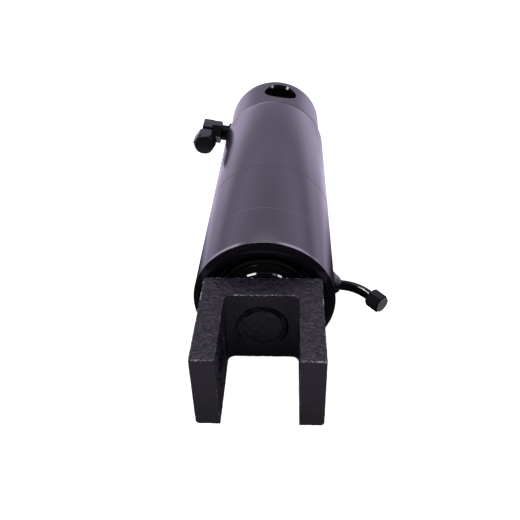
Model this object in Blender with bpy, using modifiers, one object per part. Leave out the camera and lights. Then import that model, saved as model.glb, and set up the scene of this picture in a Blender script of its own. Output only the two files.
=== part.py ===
"""Double-acting welded hydraulic cylinder, lying on its barrel with the rod drawn in.

Metres, +Z up. The origin is the centre of the rear cap's flat end, and the barrel runs from it along -Y
to the clevis. A station is a distance from that end along -Y. The barrel, with its ports and its rear pin
hole, is rolled a few degrees about its axis, while the clevis on the rod stands level.
"""

import math

import bmesh
import bpy
from mathutils import Matrix, Vector

# Clearances
GAP = 0.0003
RUNNING_GAP = 0.0004
STOP_GAP = 0.0015

# Barrel tube
BORE = 0.100
BARREL_WALL = 0.010
TUBE_LENGTH = 0.306
MOUTH_CHAMFER_DEPTH = 0.004
MOUTH_CHAMFER_WIDTH = 0.005
BORE_LEAD_IN = 0.001
SEAM_CHAMFER = 0.0015
BARREL_ROLL = math.radians(8.5)

# Rear cap
CAP_STEP = 0.003
CAP_LENGTH = 0.077
CAP_RIM_CHAMFER = 0.0025
SPIGOT_LENGTH = 0.014
SPIGOT_CHAMFER = 0.0015
REAR_PIN_HOLE = 0.040
REAR_PIN_SETBACK = 0.0345
PIN_HOLE_CHAMFER = 0.0015

# Gland and its seals
RING_GROOVE_SETBACK = 0.008
RING_THICKNESS = 0.003
RING_GROOVE_DEPTH = 0.0018
RING_WIDTH = 0.0072
RING_LUG_RADIUS = 0.0042
RING_LUG_HOLE = 0.0032
RING_LUG_MARGIN = 0.0003
RING_MOUTH_CENTRE = math.radians(125.5)
RING_MOUTH_HALF = math.radians(2.2)
GLAND_HUB_STEP = 0.008
GLAND_HUB_HEIGHT = 0.005
GLAND_HUB_CHAMFER = 0.003
GLAND_TAIL = 0.0057
GLAND_EDGE = 0.001
GLAND_LAND = 0.0207
GLAND_NECK_DEPTH = 0.006
GLAND_SEAL_SETBACK = 0.0075
O_RING_WIDTH = 0.005
BACKUP_WIDTH = 0.0024
GLAND_SEAL_DEPTH = 0.0045
WIPER_LENGTH = 0.008
WIPER_DEPTH = 0.0062
WIPER_LIP = 0.0012
GLAND_RIB = 0.003
ROD_SEAL_LENGTH = 0.010
ROD_SEAL_DEPTH = 0.0072
GUIDE_LENGTH = 0.024
GUIDE_DEPTH = 0.0026

# Rod
ROD_DIAMETER = 0.060
ROD_TAIL_STEP = 0.008
ROD_THREAD_RELIEF = 0.001
ROD_NOSE_STEP = 0.014
ROD_EDGE = 0.0015

# Piston
PISTON_LENGTH = 0.046
PISTON_RADIAL_GAP = 0.0008
PISTON_EDGE = 0.0015
BAND_WIDTH = 0.0095
BAND_SETBACK = 0.004
BAND_THICKNESS = 0.0025
PISTON_SEAL_WIDTH = 0.008
PISTON_SEAL_DEPTH = 0.0065
PISTON_SEAL_RING = 0.0034
PISTON_NUT_WALL = 0.009
PISTON_NUT_HEIGHT = 0.022
STATIC_O_RING_WIDTH = 0.003
STATIC_O_RING_DEPTH = 0.0024

# Clevis
CLEVIS_CLEARANCE = 0.0061
CLEVIS_WIDTH = 0.095
CLEVIS_HEIGHT = 0.065
CLEVIS_LENGTH = 0.093
CLEVIS_BRIDGE = 0.0225
CLEVIS_GAP = 0.058
CLEVIS_SLOT_FILLET = 0.006
CLEVIS_BACK_CORNER = 0.003
CLEVIS_EDGE = 0.0012
CLEVIS_SOLE_EDGE = 0.003
CLEVIS_PIN_HOLE = 0.040
CLEVIS_PIN_SETBACK = 0.032
WELD_GROOVE_WIDTH = 0.0045
WELD_GROOVE_DEPTH = 0.003
NOSE_RECESS = 0.0006
WELD_CROWN = 0.0006

# Rear port: weld nipple, swivel elbow and blanking cap
REAR_PORT_SETBACK = 0.0235
NIPPLE_SOCKET_DEPTH = 0.005
NIPPLE_OD = 0.019
NIPPLE_STAND_OFF = 0.0100
NIPPLE_WELD_LEG = 0.003
NIPPLE_WELD_TOE = 0.0008
NIPPLE_BORE = 0.008
NIPPLE_LIP = 0.0026
FITTING_THREAD = 0.0174
THREAD_REACH = 0.0055
THREAD_LEAD = 0.001
REAR_GALLERY_INSET = 0.012
REAR_GALLERY_BORE = 0.009
SWIVEL_NUT_FLATS = 0.024
SWIVEL_NUT_WEB = 0.0039
ELBOW_STUB = 0.013
ELBOW_COLLAR = 0.0018
ELBOW_DROOP = math.radians(1.5)
ELBOW_BLOCK_WIDTH = 0.0125
ELBOW_BLOCK_HEIGHT = 0.021
ELBOW_HEEL = 0.012
ELBOW_TOE = 0.0105
ELBOW_BLOCK_EDGE = 0.0018
ELBOW_BORE = 0.008
ELBOW_NECK = 0.0105
ELBOW_NECK_TAPER = 0.002
ELBOW_LEG_THREAD = 0.016
ELBOW_CAP_SETBACK = 0.021
BLANK_FLATS = 0.024
BLANK_LENGTH = 0.0207
BLANK_END = 0.0035
BLANK_NOSE_RADIUS = 0.0123
BLANK_NOSE_LENGTH = 0.003
BLANK_NOSE_EDGE = 0.0014
FITTING_SEAL = 0.0016

# Rod-side port: weld boss, bent tube, nut and plug
ROD_PORT_MARGIN = 0.0004
ROD_PORT_BOSS_OD = 0.023
ROD_PORT_BOSS_HEIGHT = 0.0068
ROD_PORT_BOSS_LIP = 0.001
PORT_TUBE_OD = 0.009
PORT_TUBE_WALL = 0.0014
PORT_TUBE_STRAIGHT = 0.011
PORT_TUBE_BEND_RADIUS = 0.0275
PORT_TUBE_BEND = math.radians(47.0)
PORT_TUBE_BEND_STEPS = 6
PORT_TUBE_END = 0.0115
PORT_TUBE_ENTRY = 0.0015
TUBE_NUT_FLATS = 0.0145
TUBE_NUT_LENGTH = 0.013
TUBE_NUT_WEB = 0.003
TUBE_SLEEVE_LENGTH = 0.004
TUBE_SLEEVE_WALL = 0.0008
TUBE_END_PROUD = 0.0005
PLUG_EDGE = 0.0005
PLUG_FLANGE_MARGIN = 0.0005
PLUG_FLANGE_LENGTH = 0.0008

# Hexagons: how far in from the flats the turned face lies, and its slope
HEX_FACE_INSET = 0.0004
HEX_SLOPE = math.radians(30.0)

# Facets
BARREL_SIDES = 48
INNER_SIDES = 36
HIDDEN_SIDES = 30
FITTING_SIDES = 24
SMALL_SIDES = 16

# Worked out from the above
MOUTH = CAP_LENGTH + TUBE_LENGTH
BORE_RADIUS = BORE / 2
BARREL_RADIUS = BORE_RADIUS + BARREL_WALL
CAP_RADIUS = BARREL_RADIUS - CAP_STEP
ROD_RADIUS = ROD_DIAMETER / 2
RING_FRONT = MOUTH - RING_GROOVE_SETBACK
RING_BACK = RING_FRONT - RING_THICKNESS
GLAND_SHELF = RING_BACK - GAP
GLAND_FRONT = GLAND_SHELF + GLAND_HUB_HEIGHT
GLAND_HUB = BORE_RADIUS - GLAND_HUB_STEP
GLAND_NECK_TOP = GLAND_SHELF - GLAND_LAND
WIPER_BACK = GLAND_FRONT - WIPER_LENGTH
ROD_SEAL_FRONT = WIPER_BACK - GLAND_RIB
ROD_SEAL_BACK = ROD_SEAL_FRONT - ROD_SEAL_LENGTH
GUIDE_FRONT = ROD_SEAL_BACK - GLAND_RIB
GUIDE_BACK = GUIDE_FRONT - GUIDE_LENGTH
GLAND_BACK = GUIDE_BACK - GLAND_TAIL
PORT_HOLE = PORT_TUBE_OD / 2 + GAP
ROD_PORT_STATION = GLAND_NECK_TOP - GLAND_NECK_DEPTH / 2 - PORT_HOLE - ROD_PORT_MARGIN
SPIGOT_FACE = CAP_LENGTH + SPIGOT_LENGTH
PISTON_NUT_BACK = SPIGOT_FACE + STOP_GAP
PISTON_BACK = PISTON_NUT_BACK + PISTON_NUT_HEIGHT + GAP
PISTON_FRONT = PISTON_BACK + PISTON_LENGTH
FRONT_BAND_TOP = PISTON_FRONT - BAND_SETBACK
REAR_BAND_TOP = PISTON_BACK + BAND_SETBACK + BAND_WIDTH
ROD_SHOULDER = PISTON_FRONT + GAP
ROD_TAIL_RADIUS = ROD_RADIUS - ROD_TAIL_STEP
ROD_THREAD_RADIUS = ROD_TAIL_RADIUS - ROD_THREAD_RELIEF
ROD_NOSE_RADIUS = ROD_RADIUS - ROD_NOSE_STEP
PISTON_NUT_FLATS = 2 * (ROD_THREAD_RADIUS + PISTON_NUT_WALL)
REAR_PORT_STATION = CAP_LENGTH - REAR_PORT_SETBACK
CLEVIS_BACK = MOUTH + CLEVIS_CLEARANCE
CLEVIS_SLOT = CLEVIS_BACK + CLEVIS_BRIDGE
CLEVIS_FRONT = CLEVIS_BACK + CLEVIS_LENGTH
NOSE_SOCKET = ROD_NOSE_RADIUS + GAP
WELD_GROOVE = NOSE_SOCKET + WELD_GROOVE_WIDTH
NIPPLE_SHOULDER = CAP_RADIUS + NIPPLE_STAND_OFF
NIPPLE_FACE = NIPPLE_SHOULDER + THREAD_REACH
COLLAR_FACE = NIPPLE_FACE + GAP
COLLAR_TOP = COLLAR_FACE + ELBOW_COLLAR
SWIVEL_NUT_END = COLLAR_TOP + GAP + SWIVEL_NUT_WEB
ELBOW_CENTRE = SWIVEL_NUT_END + GAP + ELBOW_BLOCK_WIDTH / 2
BLANK_FRONT = ELBOW_CAP_SETBACK + BLANK_LENGTH
BLANK_FLOOR = BLANK_FRONT - BLANK_END
ELBOW_LEG_END = BLANK_FLOOR - FITTING_SEAL - 2 * GAP
TUBE_NUT_BORE = PORT_HOLE + TUBE_SLEEVE_WALL + GAP
TUBE_INSERTION = TUBE_NUT_WEB + GAP + TUBE_SLEEVE_LENGTH + TUBE_END_PROUD

LEFT = Vector((-1.0, 0.0, 0.0))
RIGHT = Vector((1.0, 0.0, 0.0))
TOWARDS_CLEVIS = Vector((0.0, -1.0, 0.0))
UP = Vector((0.0, 0.0, 1.0))


def clear_scene():
    for item in list(bpy.data.objects):
        bpy.data.objects.remove(item, do_unlink=True)


def new_collection(name):
    made = bpy.data.collections.new(name)
    bpy.context.scene.collection.children.link(made)
    return made


def new_material(name, colour, roughness, metallic):
    material = bpy.data.materials.new(name)
    material.use_nodes = True
    shader = material.node_tree.nodes["Principled BSDF"]
    shader.inputs["Base Color"].default_value = (*colour, 1.0)
    shader.inputs["Roughness"].default_value = roughness
    shader.inputs["Metallic"].default_value = metallic
    return material


def new_empty(name, parent=None, matrix=None):
    empty = bpy.data.objects.new(name, None)
    PARTS.objects.link(empty)
    empty.parent = parent
    if matrix is not None:
        empty.matrix_local = matrix
    return empty


def frame_at(origin, along, across):
    """The matrix whose Z runs along and whose X runs across."""
    z_axis = along.normalized()
    x_axis = (across - z_axis * across.dot(z_axis)).normalized()
    y_axis = z_axis.cross(x_axis)
    turn = Matrix((x_axis, y_axis, z_axis)).transposed()
    return Matrix.Translation(origin) @ turn.to_4x4()


def new_object(name, mesh, parent, material, matrix=None):
    made = bpy.data.objects.new(name, mesh)
    PARTS.objects.link(made)
    made.parent = parent
    if matrix is not None:
        made.matrix_local = matrix
    if material is not None:
        mesh.materials.append(material)
    return made


def as_cutter(made):
    """Takes a helper out of the part and into the collection of cutters."""
    PARTS.objects.unlink(made)
    CUTTERS.objects.link(made)
    made.hide_render = True
    made.display_type = "WIRE"
    return made


def smooth(made):
    """Rounds the shading of a turned piece and keeps its corners."""
    made.data.shade_smooth()
    made.data.set_sharp_from_angle(angle=math.radians(30))


def turned(name, outline, sides, parent, material=None, matrix=None, half_step=False):
    """A turned piece. outline is (radius, height) pairs that start at the top and run down the outside.

    An outline that starts and ends on the axis is left open, and any other is closed into a ring.
    """
    mesh = bpy.data.meshes.new(name)
    on_axis = outline[0][0] == 0 and outline[-1][0] == 0
    points = [(radius, 0.0, height) for radius, height in outline]
    last = len(points) - 1
    edges = [(index, index + 1) for index in range(last)]
    if not on_axis:
        edges.append((last, 0))
    mesh.from_pydata(points, edges, [])
    made = new_object(name, mesh, parent, material, matrix)
    if half_step:
        mesh.transform(Matrix.Rotation(math.pi / sides, 4, "Z"))
    screw = made.modifiers.new("turn", "SCREW")
    screw.axis = "Z"
    screw.steps = sides
    screw.render_steps = sides
    screw.use_merge_vertices = True
    screw.merge_threshold = 0.00001
    screw.use_smooth_shade = True
    return made


def cylinder(name, radius, start, end, sides, parent, matrix=None, half_step=False):
    outline = [(0, end), (radius, end), (radius, start), (0, start)]
    return turned(name, outline, sides, parent, None, matrix, half_step)


def boolean(made, other, operation):
    step = made.modifiers.new(other.name, "BOOLEAN")
    step.operation = operation
    step.solver = "EXACT"
    step.object = other


def cut(made, cutter):
    boolean(made, as_cutter(cutter), "DIFFERENCE")


def join(made, other):
    boolean(made, as_cutter(other), "UNION")


def hexagon(name, flats, start, end, parent, material, matrix):
    """A hexagon bar along Z whose corners are turned down at both ends. Its flats face +X and -X."""
    corner = flats / math.sqrt(3)
    shape = bmesh.new()
    bmesh.ops.create_cone(
        shape,
        cap_ends=True,
        segments=6,
        radius1=corner,
        radius2=corner,
        depth=end - start,
        matrix=Matrix.Translation((0, 0, (start + end) / 2)),
    )
    mesh = bpy.data.meshes.new(name)
    shape.to_mesh(mesh)
    shape.free()
    made = new_object(name, mesh, parent, material, matrix)
    face = flats / 2 - HEX_FACE_INSET
    over = corner + HEX_FACE_INSET
    drop = (over - face) * math.tan(HEX_SLOPE)
    outline = [(0, end), (face, end), (over, end - drop), (over, start + drop), (face, start), (0, start)]
    chamfers = turned(name + "_chamfers", outline, FITTING_SIDES, parent, None, matrix)
    boolean(made, as_cutter(chamfers), "INTERSECT")
    return made


def mesh_of(curve_object):
    """Replaces a curve object by its mesh, with the caps welded on."""
    bpy.context.view_layer.update()
    graph = bpy.context.evaluated_depsgraph_get()
    mesh = bpy.data.meshes.new_from_object(curve_object.evaluated_get(graph))
    shape = bmesh.new()
    shape.from_mesh(mesh)
    bmesh.ops.remove_doubles(shape, verts=shape.verts, dist=0.000001)
    bmesh.ops.recalc_face_normals(shape, faces=shape.faces)
    shape.to_mesh(mesh)
    shape.free()
    name, parent, matrix = curve_object.name, curve_object.parent, curve_object.matrix_local.copy()
    bpy.data.objects.remove(curve_object, do_unlink=True)
    mesh.name = name
    return new_object(name, mesh, parent, None, matrix)


def arc(centre, radius, start, end, steps):
    """Points of an arc in a plane, from one angle to another."""
    angles = [start + (end - start) * step / steps for step in range(steps + 1)]
    return [(centre[0] + radius * math.cos(a), centre[1] + radius * math.sin(a)) for a in angles]


def plate(name, outline, thickness, parent, matrix):
    """A flat piece: a closed outline in XY, filled and extruded both ways from its own plane."""
    curve = bpy.data.curves.new(name, "CURVE")
    curve.dimensions = "2D"
    curve.fill_mode = "BOTH"
    curve.extrude = thickness / 2
    line = curve.splines.new("POLY")
    line.points.add(len(outline) - 1)
    for point, (x, y) in zip(line.points, outline):
        point.co = (x, y, 0, 1)
    line.use_cyclic_u = True
    made = bpy.data.objects.new(name, curve)
    PARTS.objects.link(made)
    made.parent = parent
    made.matrix_local = matrix
    return mesh_of(made)


def pipe(name, points, radius, parent, matrix):
    """A round bar along the given points."""
    curve = bpy.data.curves.new(name, "CURVE")
    curve.dimensions = "3D"
    curve.bevel_depth = radius
    curve.bevel_resolution = 4
    curve.use_fill_caps = True
    line = curve.splines.new("POLY")
    line.points.add(len(points) - 1)
    for point, place in zip(line.points, points):
        point.co = (*place, 1)
    made = bpy.data.objects.new(name, curve)
    PARTS.objects.link(made)
    made.parent = parent
    made.matrix_local = matrix
    return mesh_of(made)


def round_section(inner, outer, middle, width):
    """The six-cornered section of a pressed O-ring, as a closed outline."""
    waist = (outer - inner) / 3
    top = middle + width / 2
    bottom = middle - width / 2
    return [
        (outer, middle),
        (outer - waist, bottom),
        (inner + waist, bottom),
        (inner, middle),
        (inner + waist, top),
        (outer - waist, top),
    ]


def ring_section(inner, outer, start, end):
    return [(outer, end), (outer, start), (inner, start), (inner, end)]


def make_barrel_tube(material):
    """The honed tube: bevelled mouth, groove for the retaining ring and the seam bevel at the cap."""
    outer = BARREL_RADIUS
    groove = BORE_RADIUS + RING_GROOVE_DEPTH
    seam = CAP_LENGTH + GAP
    outline = [
        (BORE_RADIUS + BORE_LEAD_IN, MOUTH),
        (outer - MOUTH_CHAMFER_WIDTH, MOUTH),
        (outer, MOUTH - MOUTH_CHAMFER_DEPTH),
        (outer, seam + SEAM_CHAMFER),
        (outer - SEAM_CHAMFER, seam),
        (BORE_RADIUS, seam),
        (BORE_RADIUS, RING_BACK - GAP),
        (groove, RING_BACK - GAP),
        (groove, RING_FRONT + GAP),
        (BORE_RADIUS, RING_FRONT + GAP),
        (BORE_RADIUS, MOUTH - BORE_LEAD_IN),
    ]
    tube = turned("barrel_tube", outline, BARREL_SIDES, ROD_AXIS, material, MAIN_AXIS, half_step=True)
    drill = ("rod_port_drill", PORT_HOLE, BORE_RADIUS - BARREL_WALL, outer + BARREL_WALL)
    cut(tube, cylinder(*drill, SMALL_SIDES, ROD_PORT))
    return tube


def make_rear_cap(material):
    """The solid base: spigot in the bore, cross hole for the mounting pin, and the drilled oil gallery."""
    outer = CAP_RADIUS
    spigot = BORE_RADIUS - GAP
    outline = [
        (0, SPIGOT_FACE),
        (spigot - SPIGOT_CHAMFER, SPIGOT_FACE),
        (spigot, SPIGOT_FACE - SPIGOT_CHAMFER),
        (spigot, CAP_LENGTH),
        (outer, CAP_LENGTH),
        (outer, CAP_RIM_CHAMFER),
        (outer - CAP_RIM_CHAMFER, 0),
        (0, 0),
    ]
    cap = turned("rear_cap", outline, BARREL_SIDES, BARREL_AXIS, material, MAIN_AXIS)

    hole = REAR_PIN_HOLE / 2
    reach = outer + BARREL_WALL
    lip = math.sqrt(outer**2 - hole**2) - PIN_HOLE_CHAMFER
    flare = hole + reach - lip
    outline = [(0, reach), (flare, reach), (hole, lip), (hole, -lip), (flare, -reach), (0, -reach)]
    pin_place = frame_at(TOWARDS_CLEVIS * REAR_PIN_SETBACK, UP, RIGHT)
    cut(cap, turned("rear_pin_drill", outline, INNER_SIDES, BARREL_AXIS, None, pin_place))

    socket = NIPPLE_OD / 2 + GAP
    floor = outer - NIPPLE_SOCKET_DEPTH
    drilling = NIPPLE_BORE / 2
    gallery = BORE_RADIUS - REAR_GALLERY_INSET
    outline = [
        (0, reach),
        (socket, reach),
        (socket, floor),
        (drilling, floor),
        (drilling, gallery - drilling),
        (0, gallery - drilling),
    ]
    cut(cap, turned("nipple_socket_drill", outline, SMALL_SIDES, REAR_PORT))
    gallery_place = frame_at(LEFT * gallery, TOWARDS_CLEVIS, RIGHT)
    radius = REAR_GALLERY_BORE / 2
    drill = ("gallery_drill", radius, REAR_PORT_STATION - radius, SPIGOT_FACE + SPIGOT_LENGTH)
    cut(cap, cylinder(*drill, SMALL_SIDES, BARREL_AXIS, gallery_place))
    return cap


def make_gland_head(material):
    """The head bush: front land in the bore, and a neck that leaves the rod-side port open behind it."""
    outer = BORE_RADIUS - GAP
    hub = GLAND_HUB
    seal_top = GLAND_SHELF - GLAND_SEAL_SETBACK
    seal_end = seal_top - O_RING_WIDTH - BACKUP_WIDTH - 3 * GAP
    passage = ROD_RADIUS + RUNNING_GAP
    wiper = ROD_RADIUS + WIPER_DEPTH
    seal = ROD_RADIUS + ROD_SEAL_DEPTH
    guide = ROD_RADIUS + GUIDE_DEPTH
    chamfer = min(GLAND_HUB_CHAMFER, (hub - wiper) * 0.6)
    outline = [
        (wiper, GLAND_FRONT),
        (hub - chamfer, GLAND_FRONT),
        (hub, GLAND_FRONT - chamfer),
        (hub, GLAND_SHELF),
        (outer - GLAND_EDGE, GLAND_SHELF),
        (outer, GLAND_SHELF - GLAND_EDGE),
        (outer, seal_top),
        (outer - GLAND_SEAL_DEPTH, seal_top),
        (outer - GLAND_SEAL_DEPTH, seal_end),
        (outer, seal_end),
        (outer, GLAND_NECK_TOP),
        (outer - GLAND_NECK_DEPTH, GLAND_NECK_TOP - GLAND_NECK_DEPTH / 2),
        (outer - GLAND_NECK_DEPTH, GLAND_BACK),
        (passage, GLAND_BACK),
        (passage, GUIDE_BACK),
        (guide, GUIDE_BACK),
        (guide, GUIDE_FRONT),
        (passage, GUIDE_FRONT),
        (passage, ROD_SEAL_BACK),
        (seal, ROD_SEAL_BACK),
        (seal, ROD_SEAL_FRONT),
        (passage, ROD_SEAL_FRONT),
        (passage, WIPER_BACK),
        (wiper, WIPER_BACK),
    ]
    return turned("gland_head", outline, INNER_SIDES, ROD_AXIS, material, MAIN_AXIS)


def make_gland_seals(rubber, plastic, bronze):
    """What the gland carries: static O-ring and backup ring, guide bush, rod seal and wiper."""
    outer = BORE_RADIUS - 2 * GAP
    inner = BORE_RADIUS - GLAND_SEAL_DEPTH
    seal_top = GLAND_SHELF - GLAND_SEAL_SETBACK - GAP
    section = ring_section(inner, outer, seal_top - BACKUP_WIDTH, seal_top)
    turned("gland_backup_ring", section, HIDDEN_SIDES, ROD_AXIS, plastic, MAIN_AXIS)
    middle = seal_top - BACKUP_WIDTH - GAP - O_RING_WIDTH / 2
    section = round_section(inner, outer, middle, O_RING_WIDTH)
    turned("gland_o_ring", section, HIDDEN_SIDES, ROD_AXIS, rubber, MAIN_AXIS)

    inner = ROD_RADIUS + GAP
    outer = ROD_RADIUS + GUIDE_DEPTH - GAP
    section = ring_section(inner, outer, GUIDE_BACK + GAP, GUIDE_FRONT - GAP)
    turned("rod_guide_bush", section, HIDDEN_SIDES, ROD_AXIS, bronze, MAIN_AXIS)

    outer = ROD_RADIUS + ROD_SEAL_DEPTH - GAP
    start = ROD_SEAL_BACK + GAP
    end = ROD_SEAL_FRONT - GAP
    third = (outer - inner) / 3
    section = [
        (outer, end),
        (outer, start),
        (outer - third, start),
        (outer - third * 1.5, start + ROD_SEAL_LENGTH * 0.4),
        (inner + third, start),
        (inner, start),
        (inner, end),
    ]
    turned("rod_seal", section, HIDDEN_SIDES, ROD_AXIS, rubber, MAIN_AXIS)

    outer = ROD_RADIUS + WIPER_DEPTH - GAP
    start = WIPER_BACK + GAP
    lip = GLAND_FRONT + WIPER_LIP
    waist = inner + WIPER_DEPTH * 0.35
    section = [
        (inner + GAP, lip),
        (waist, GLAND_FRONT - WIPER_LIP),
        (outer, GLAND_FRONT - WIPER_LIP),
        (outer, start),
        (inner, start),
    ]
    turned("rod_wiper", section, INNER_SIDES, ROD_AXIS, rubber, MAIN_AXIS)


def make_retaining_ring(material):
    """The inward-springing ring in the mouth's groove, with a pierced lug at each end."""
    outer = BORE_RADIUS + RING_GROOVE_DEPTH - GAP
    inner = outer - RING_WIDTH
    start = RING_MOUTH_CENTRE + RING_MOUTH_HALF
    end = start + 2 * math.pi - 2 * RING_MOUTH_HALF
    lug_pitch = GLAND_HUB + GAP + RING_LUG_RADIUS
    lug_turn = (RING_LUG_RADIUS + RING_LUG_MARGIN) / lug_pitch
    outside = arc((0, 0), outer, start, end, INNER_SIDES)
    inside = arc((0, 0), inner, end, start, INNER_SIDES)
    outline = outside + inside
    place = frame_at(TOWARDS_CLEVIS * (RING_FRONT + RING_BACK) / 2, TOWARDS_CLEVIS, RIGHT)
    ring = plate("gland_retaining_ring", outline, RING_THICKNESS, ROD_AXIS, place)
    ring.data.materials.append(material)
    half = RING_THICKNESS / 2
    for side, angle in (("first", start + lug_turn), ("last", end - lug_turn)):
        centre = Vector((math.cos(angle), math.sin(angle), 0)) * lug_pitch
        lug_place = place @ Matrix.Translation(centre)
        lug = ("%s_lug" % side, RING_LUG_RADIUS, -half, half)
        hole = ("%s_lug_hole" % side, RING_LUG_HOLE / 2, -RING_THICKNESS, RING_THICKNESS)
        join(ring, cylinder(*lug, SMALL_SIDES, ROD_AXIS, lug_place))
        cut(ring, cylinder(*hole, SMALL_SIDES, ROD_AXIS, lug_place))
    return ring


def make_piston(material):
    """The piston: two grooves for guide bands, one for the seal between them, one in its bore."""
    outer = BORE_RADIUS - PISTON_RADIAL_GAP
    band = BORE_RADIUS - GAP - BAND_THICKNESS - RUNNING_GAP
    seal = outer - PISTON_SEAL_DEPTH
    bore = ROD_TAIL_RADIUS + GAP
    static = bore + STATIC_O_RING_DEPTH
    middle = (PISTON_FRONT + PISTON_BACK) / 2
    outline = [
        (bore, PISTON_FRONT),
        (outer - PISTON_EDGE, PISTON_FRONT),
        (outer, PISTON_FRONT - PISTON_EDGE),
        (outer, FRONT_BAND_TOP + GAP),
        (band, FRONT_BAND_TOP + GAP),
        (band, FRONT_BAND_TOP - BAND_WIDTH - GAP),
        (outer, FRONT_BAND_TOP - BAND_WIDTH - GAP),
        (outer, middle + PISTON_SEAL_WIDTH / 2 + GAP),
        (seal, middle + PISTON_SEAL_WIDTH / 2 + GAP),
        (seal, middle - PISTON_SEAL_WIDTH / 2 - GAP),
        (outer, middle - PISTON_SEAL_WIDTH / 2 - GAP),
        (outer, REAR_BAND_TOP + GAP),
        (band, REAR_BAND_TOP + GAP),
        (band, REAR_BAND_TOP - BAND_WIDTH - GAP),
        (outer, REAR_BAND_TOP - BAND_WIDTH - GAP),
        (outer, PISTON_BACK + PISTON_EDGE),
        (outer - PISTON_EDGE, PISTON_BACK),
        (bore, PISTON_BACK),
        (bore, middle - STATIC_O_RING_WIDTH / 2 - GAP),
        (static, middle - STATIC_O_RING_WIDTH / 2 - GAP),
        (static, middle + STATIC_O_RING_WIDTH / 2 + GAP),
        (bore, middle + STATIC_O_RING_WIDTH / 2 + GAP),
    ]
    return turned("piston", outline, HIDDEN_SIDES, ROD_AXIS, material, MAIN_AXIS)


def make_piston_seals(rubber, plastic):
    """Guide bands, the seal ring on its rubber energiser, and the static O-ring in the piston's bore."""
    outer = BORE_RADIUS - GAP
    inner = outer - BAND_THICKNESS
    for end, top in (("front", FRONT_BAND_TOP), ("rear", REAR_BAND_TOP)):
        section = ring_section(inner, outer, top - BAND_WIDTH, top)
        turned("piston_guide_band_" + end, section, HIDDEN_SIDES, ROD_AXIS, plastic, MAIN_AXIS)

    middle = (PISTON_FRONT + PISTON_BACK) / 2
    half = PISTON_SEAL_WIDTH / 2
    inner = outer - PISTON_SEAL_RING
    section = ring_section(inner, outer, middle - half, middle + half)
    turned("piston_seal", section, HIDDEN_SIDES, ROD_AXIS, plastic, MAIN_AXIS)
    floor = BORE_RADIUS - PISTON_RADIAL_GAP - PISTON_SEAL_DEPTH + RUNNING_GAP
    section = round_section(floor, inner - GAP, middle, PISTON_SEAL_WIDTH)
    turned("piston_seal_energiser", section, HIDDEN_SIDES, ROD_AXIS, rubber, MAIN_AXIS)

    inner = ROD_TAIL_RADIUS + GAP
    outer = inner + STATIC_O_RING_DEPTH - GAP
    section = round_section(inner, outer, middle, STATIC_O_RING_WIDTH)
    turned("piston_o_ring", section, HIDDEN_SIDES, ROD_AXIS, rubber, MAIN_AXIS)


def make_piston_nut(material):
    back = PISTON_NUT_BACK
    front = PISTON_NUT_BACK + PISTON_NUT_HEIGHT
    nut = hexagon("piston_nut", PISTON_NUT_FLATS, back, front, ROD_AXIS, material, MAIN_AXIS)
    bore = ROD_THREAD_RADIUS + GAP
    reach = PISTON_NUT_HEIGHT
    drill = ("piston_nut_drill", bore, back - reach, front + reach, HIDDEN_SIDES)
    cut(nut, cylinder(*drill, ROD_AXIS, MAIN_AXIS))
    return nut


def make_piston_rod(material):
    """The rod: threaded tail through piston and nut, chromed length, and the nose welded in the clevis."""
    thread = ROD_THREAD_RADIUS
    tail = ROD_TAIL_RADIUS
    nose = ROD_NOSE_RADIUS
    outline = [
        (0, CLEVIS_SLOT - NOSE_RECESS),
        (nose, CLEVIS_SLOT - NOSE_RECESS),
        (nose, CLEVIS_BACK - GAP),
        (ROD_RADIUS - ROD_EDGE, CLEVIS_BACK - GAP),
        (ROD_RADIUS, CLEVIS_BACK - GAP - ROD_EDGE),
        (ROD_RADIUS, ROD_SHOULDER),
        (tail, ROD_SHOULDER),
        (tail, PISTON_BACK),
        (thread, PISTON_BACK),
        (thread, PISTON_NUT_BACK + ROD_EDGE),
        (thread - ROD_EDGE, PISTON_NUT_BACK),
        (0, PISTON_NUT_BACK),
    ]
    return turned("piston_rod", outline, INNER_SIDES, ROD_AXIS, material, MAIN_AXIS)


def clevis_outline():
    """The clevis seen from above: a U whose ears run towards -Y, with its slot's corners filleted."""
    half = CLEVIS_WIDTH / 2
    gap = CLEVIS_GAP / 2
    back, slot, front = -CLEVIS_BACK, -CLEVIS_SLOT, -CLEVIS_FRONT
    fillet = CLEVIS_SLOT_FILLET
    corner = CLEVIS_BACK_CORNER
    quarter = math.pi / 2
    steps = 5
    outline = [(-half, front), (-gap, front)]
    outline += arc((-gap + fillet, slot - fillet), fillet, 2 * quarter, quarter, steps)
    outline += arc((gap - fillet, slot - fillet), fillet, quarter, 0, steps)
    outline += [(gap, front), (half, front)]
    outline += arc((half - corner, back - corner), corner, 0, quarter, 3)
    outline += arc((-half + corner, back - corner), corner, quarter, 2 * quarter, 3)
    return outline


def round_clevis_edges(clevis):
    """Weights the sharp edges for the Bevel: wide on the long edges under the ears, narrow elsewhere."""
    shape = bmesh.new()
    shape.from_mesh(clevis.data)
    flat = [edge for edge in shape.edges if edge.calc_face_angle(0) < math.radians(1)]
    bmesh.ops.dissolve_edges(shape, edges=flat, use_verts=False)
    weight = shape.edges.layers.float.new("bevel_weight_edge")
    for edge in shape.edges:
        if edge.calc_face_angle(0) < math.radians(40):
            continue
        first, last = (corner.co for corner in edge.verts)
        along_ear = abs(first.y - last.y) > CLEVIS_BRIDGE
        sole = along_ear and first.z < 0 and last.z < 0
        edge[weight] = 1.0 if sole else CLEVIS_EDGE / CLEVIS_SOLE_EDGE
    shape.to_mesh(clevis.data)
    shape.free()
    bevel = clevis.modifiers.new("edges", "BEVEL")
    bevel.limit_method = "WEIGHT"
    bevel.width = CLEVIS_SOLE_EDGE
    bevel.segments = 2


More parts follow.
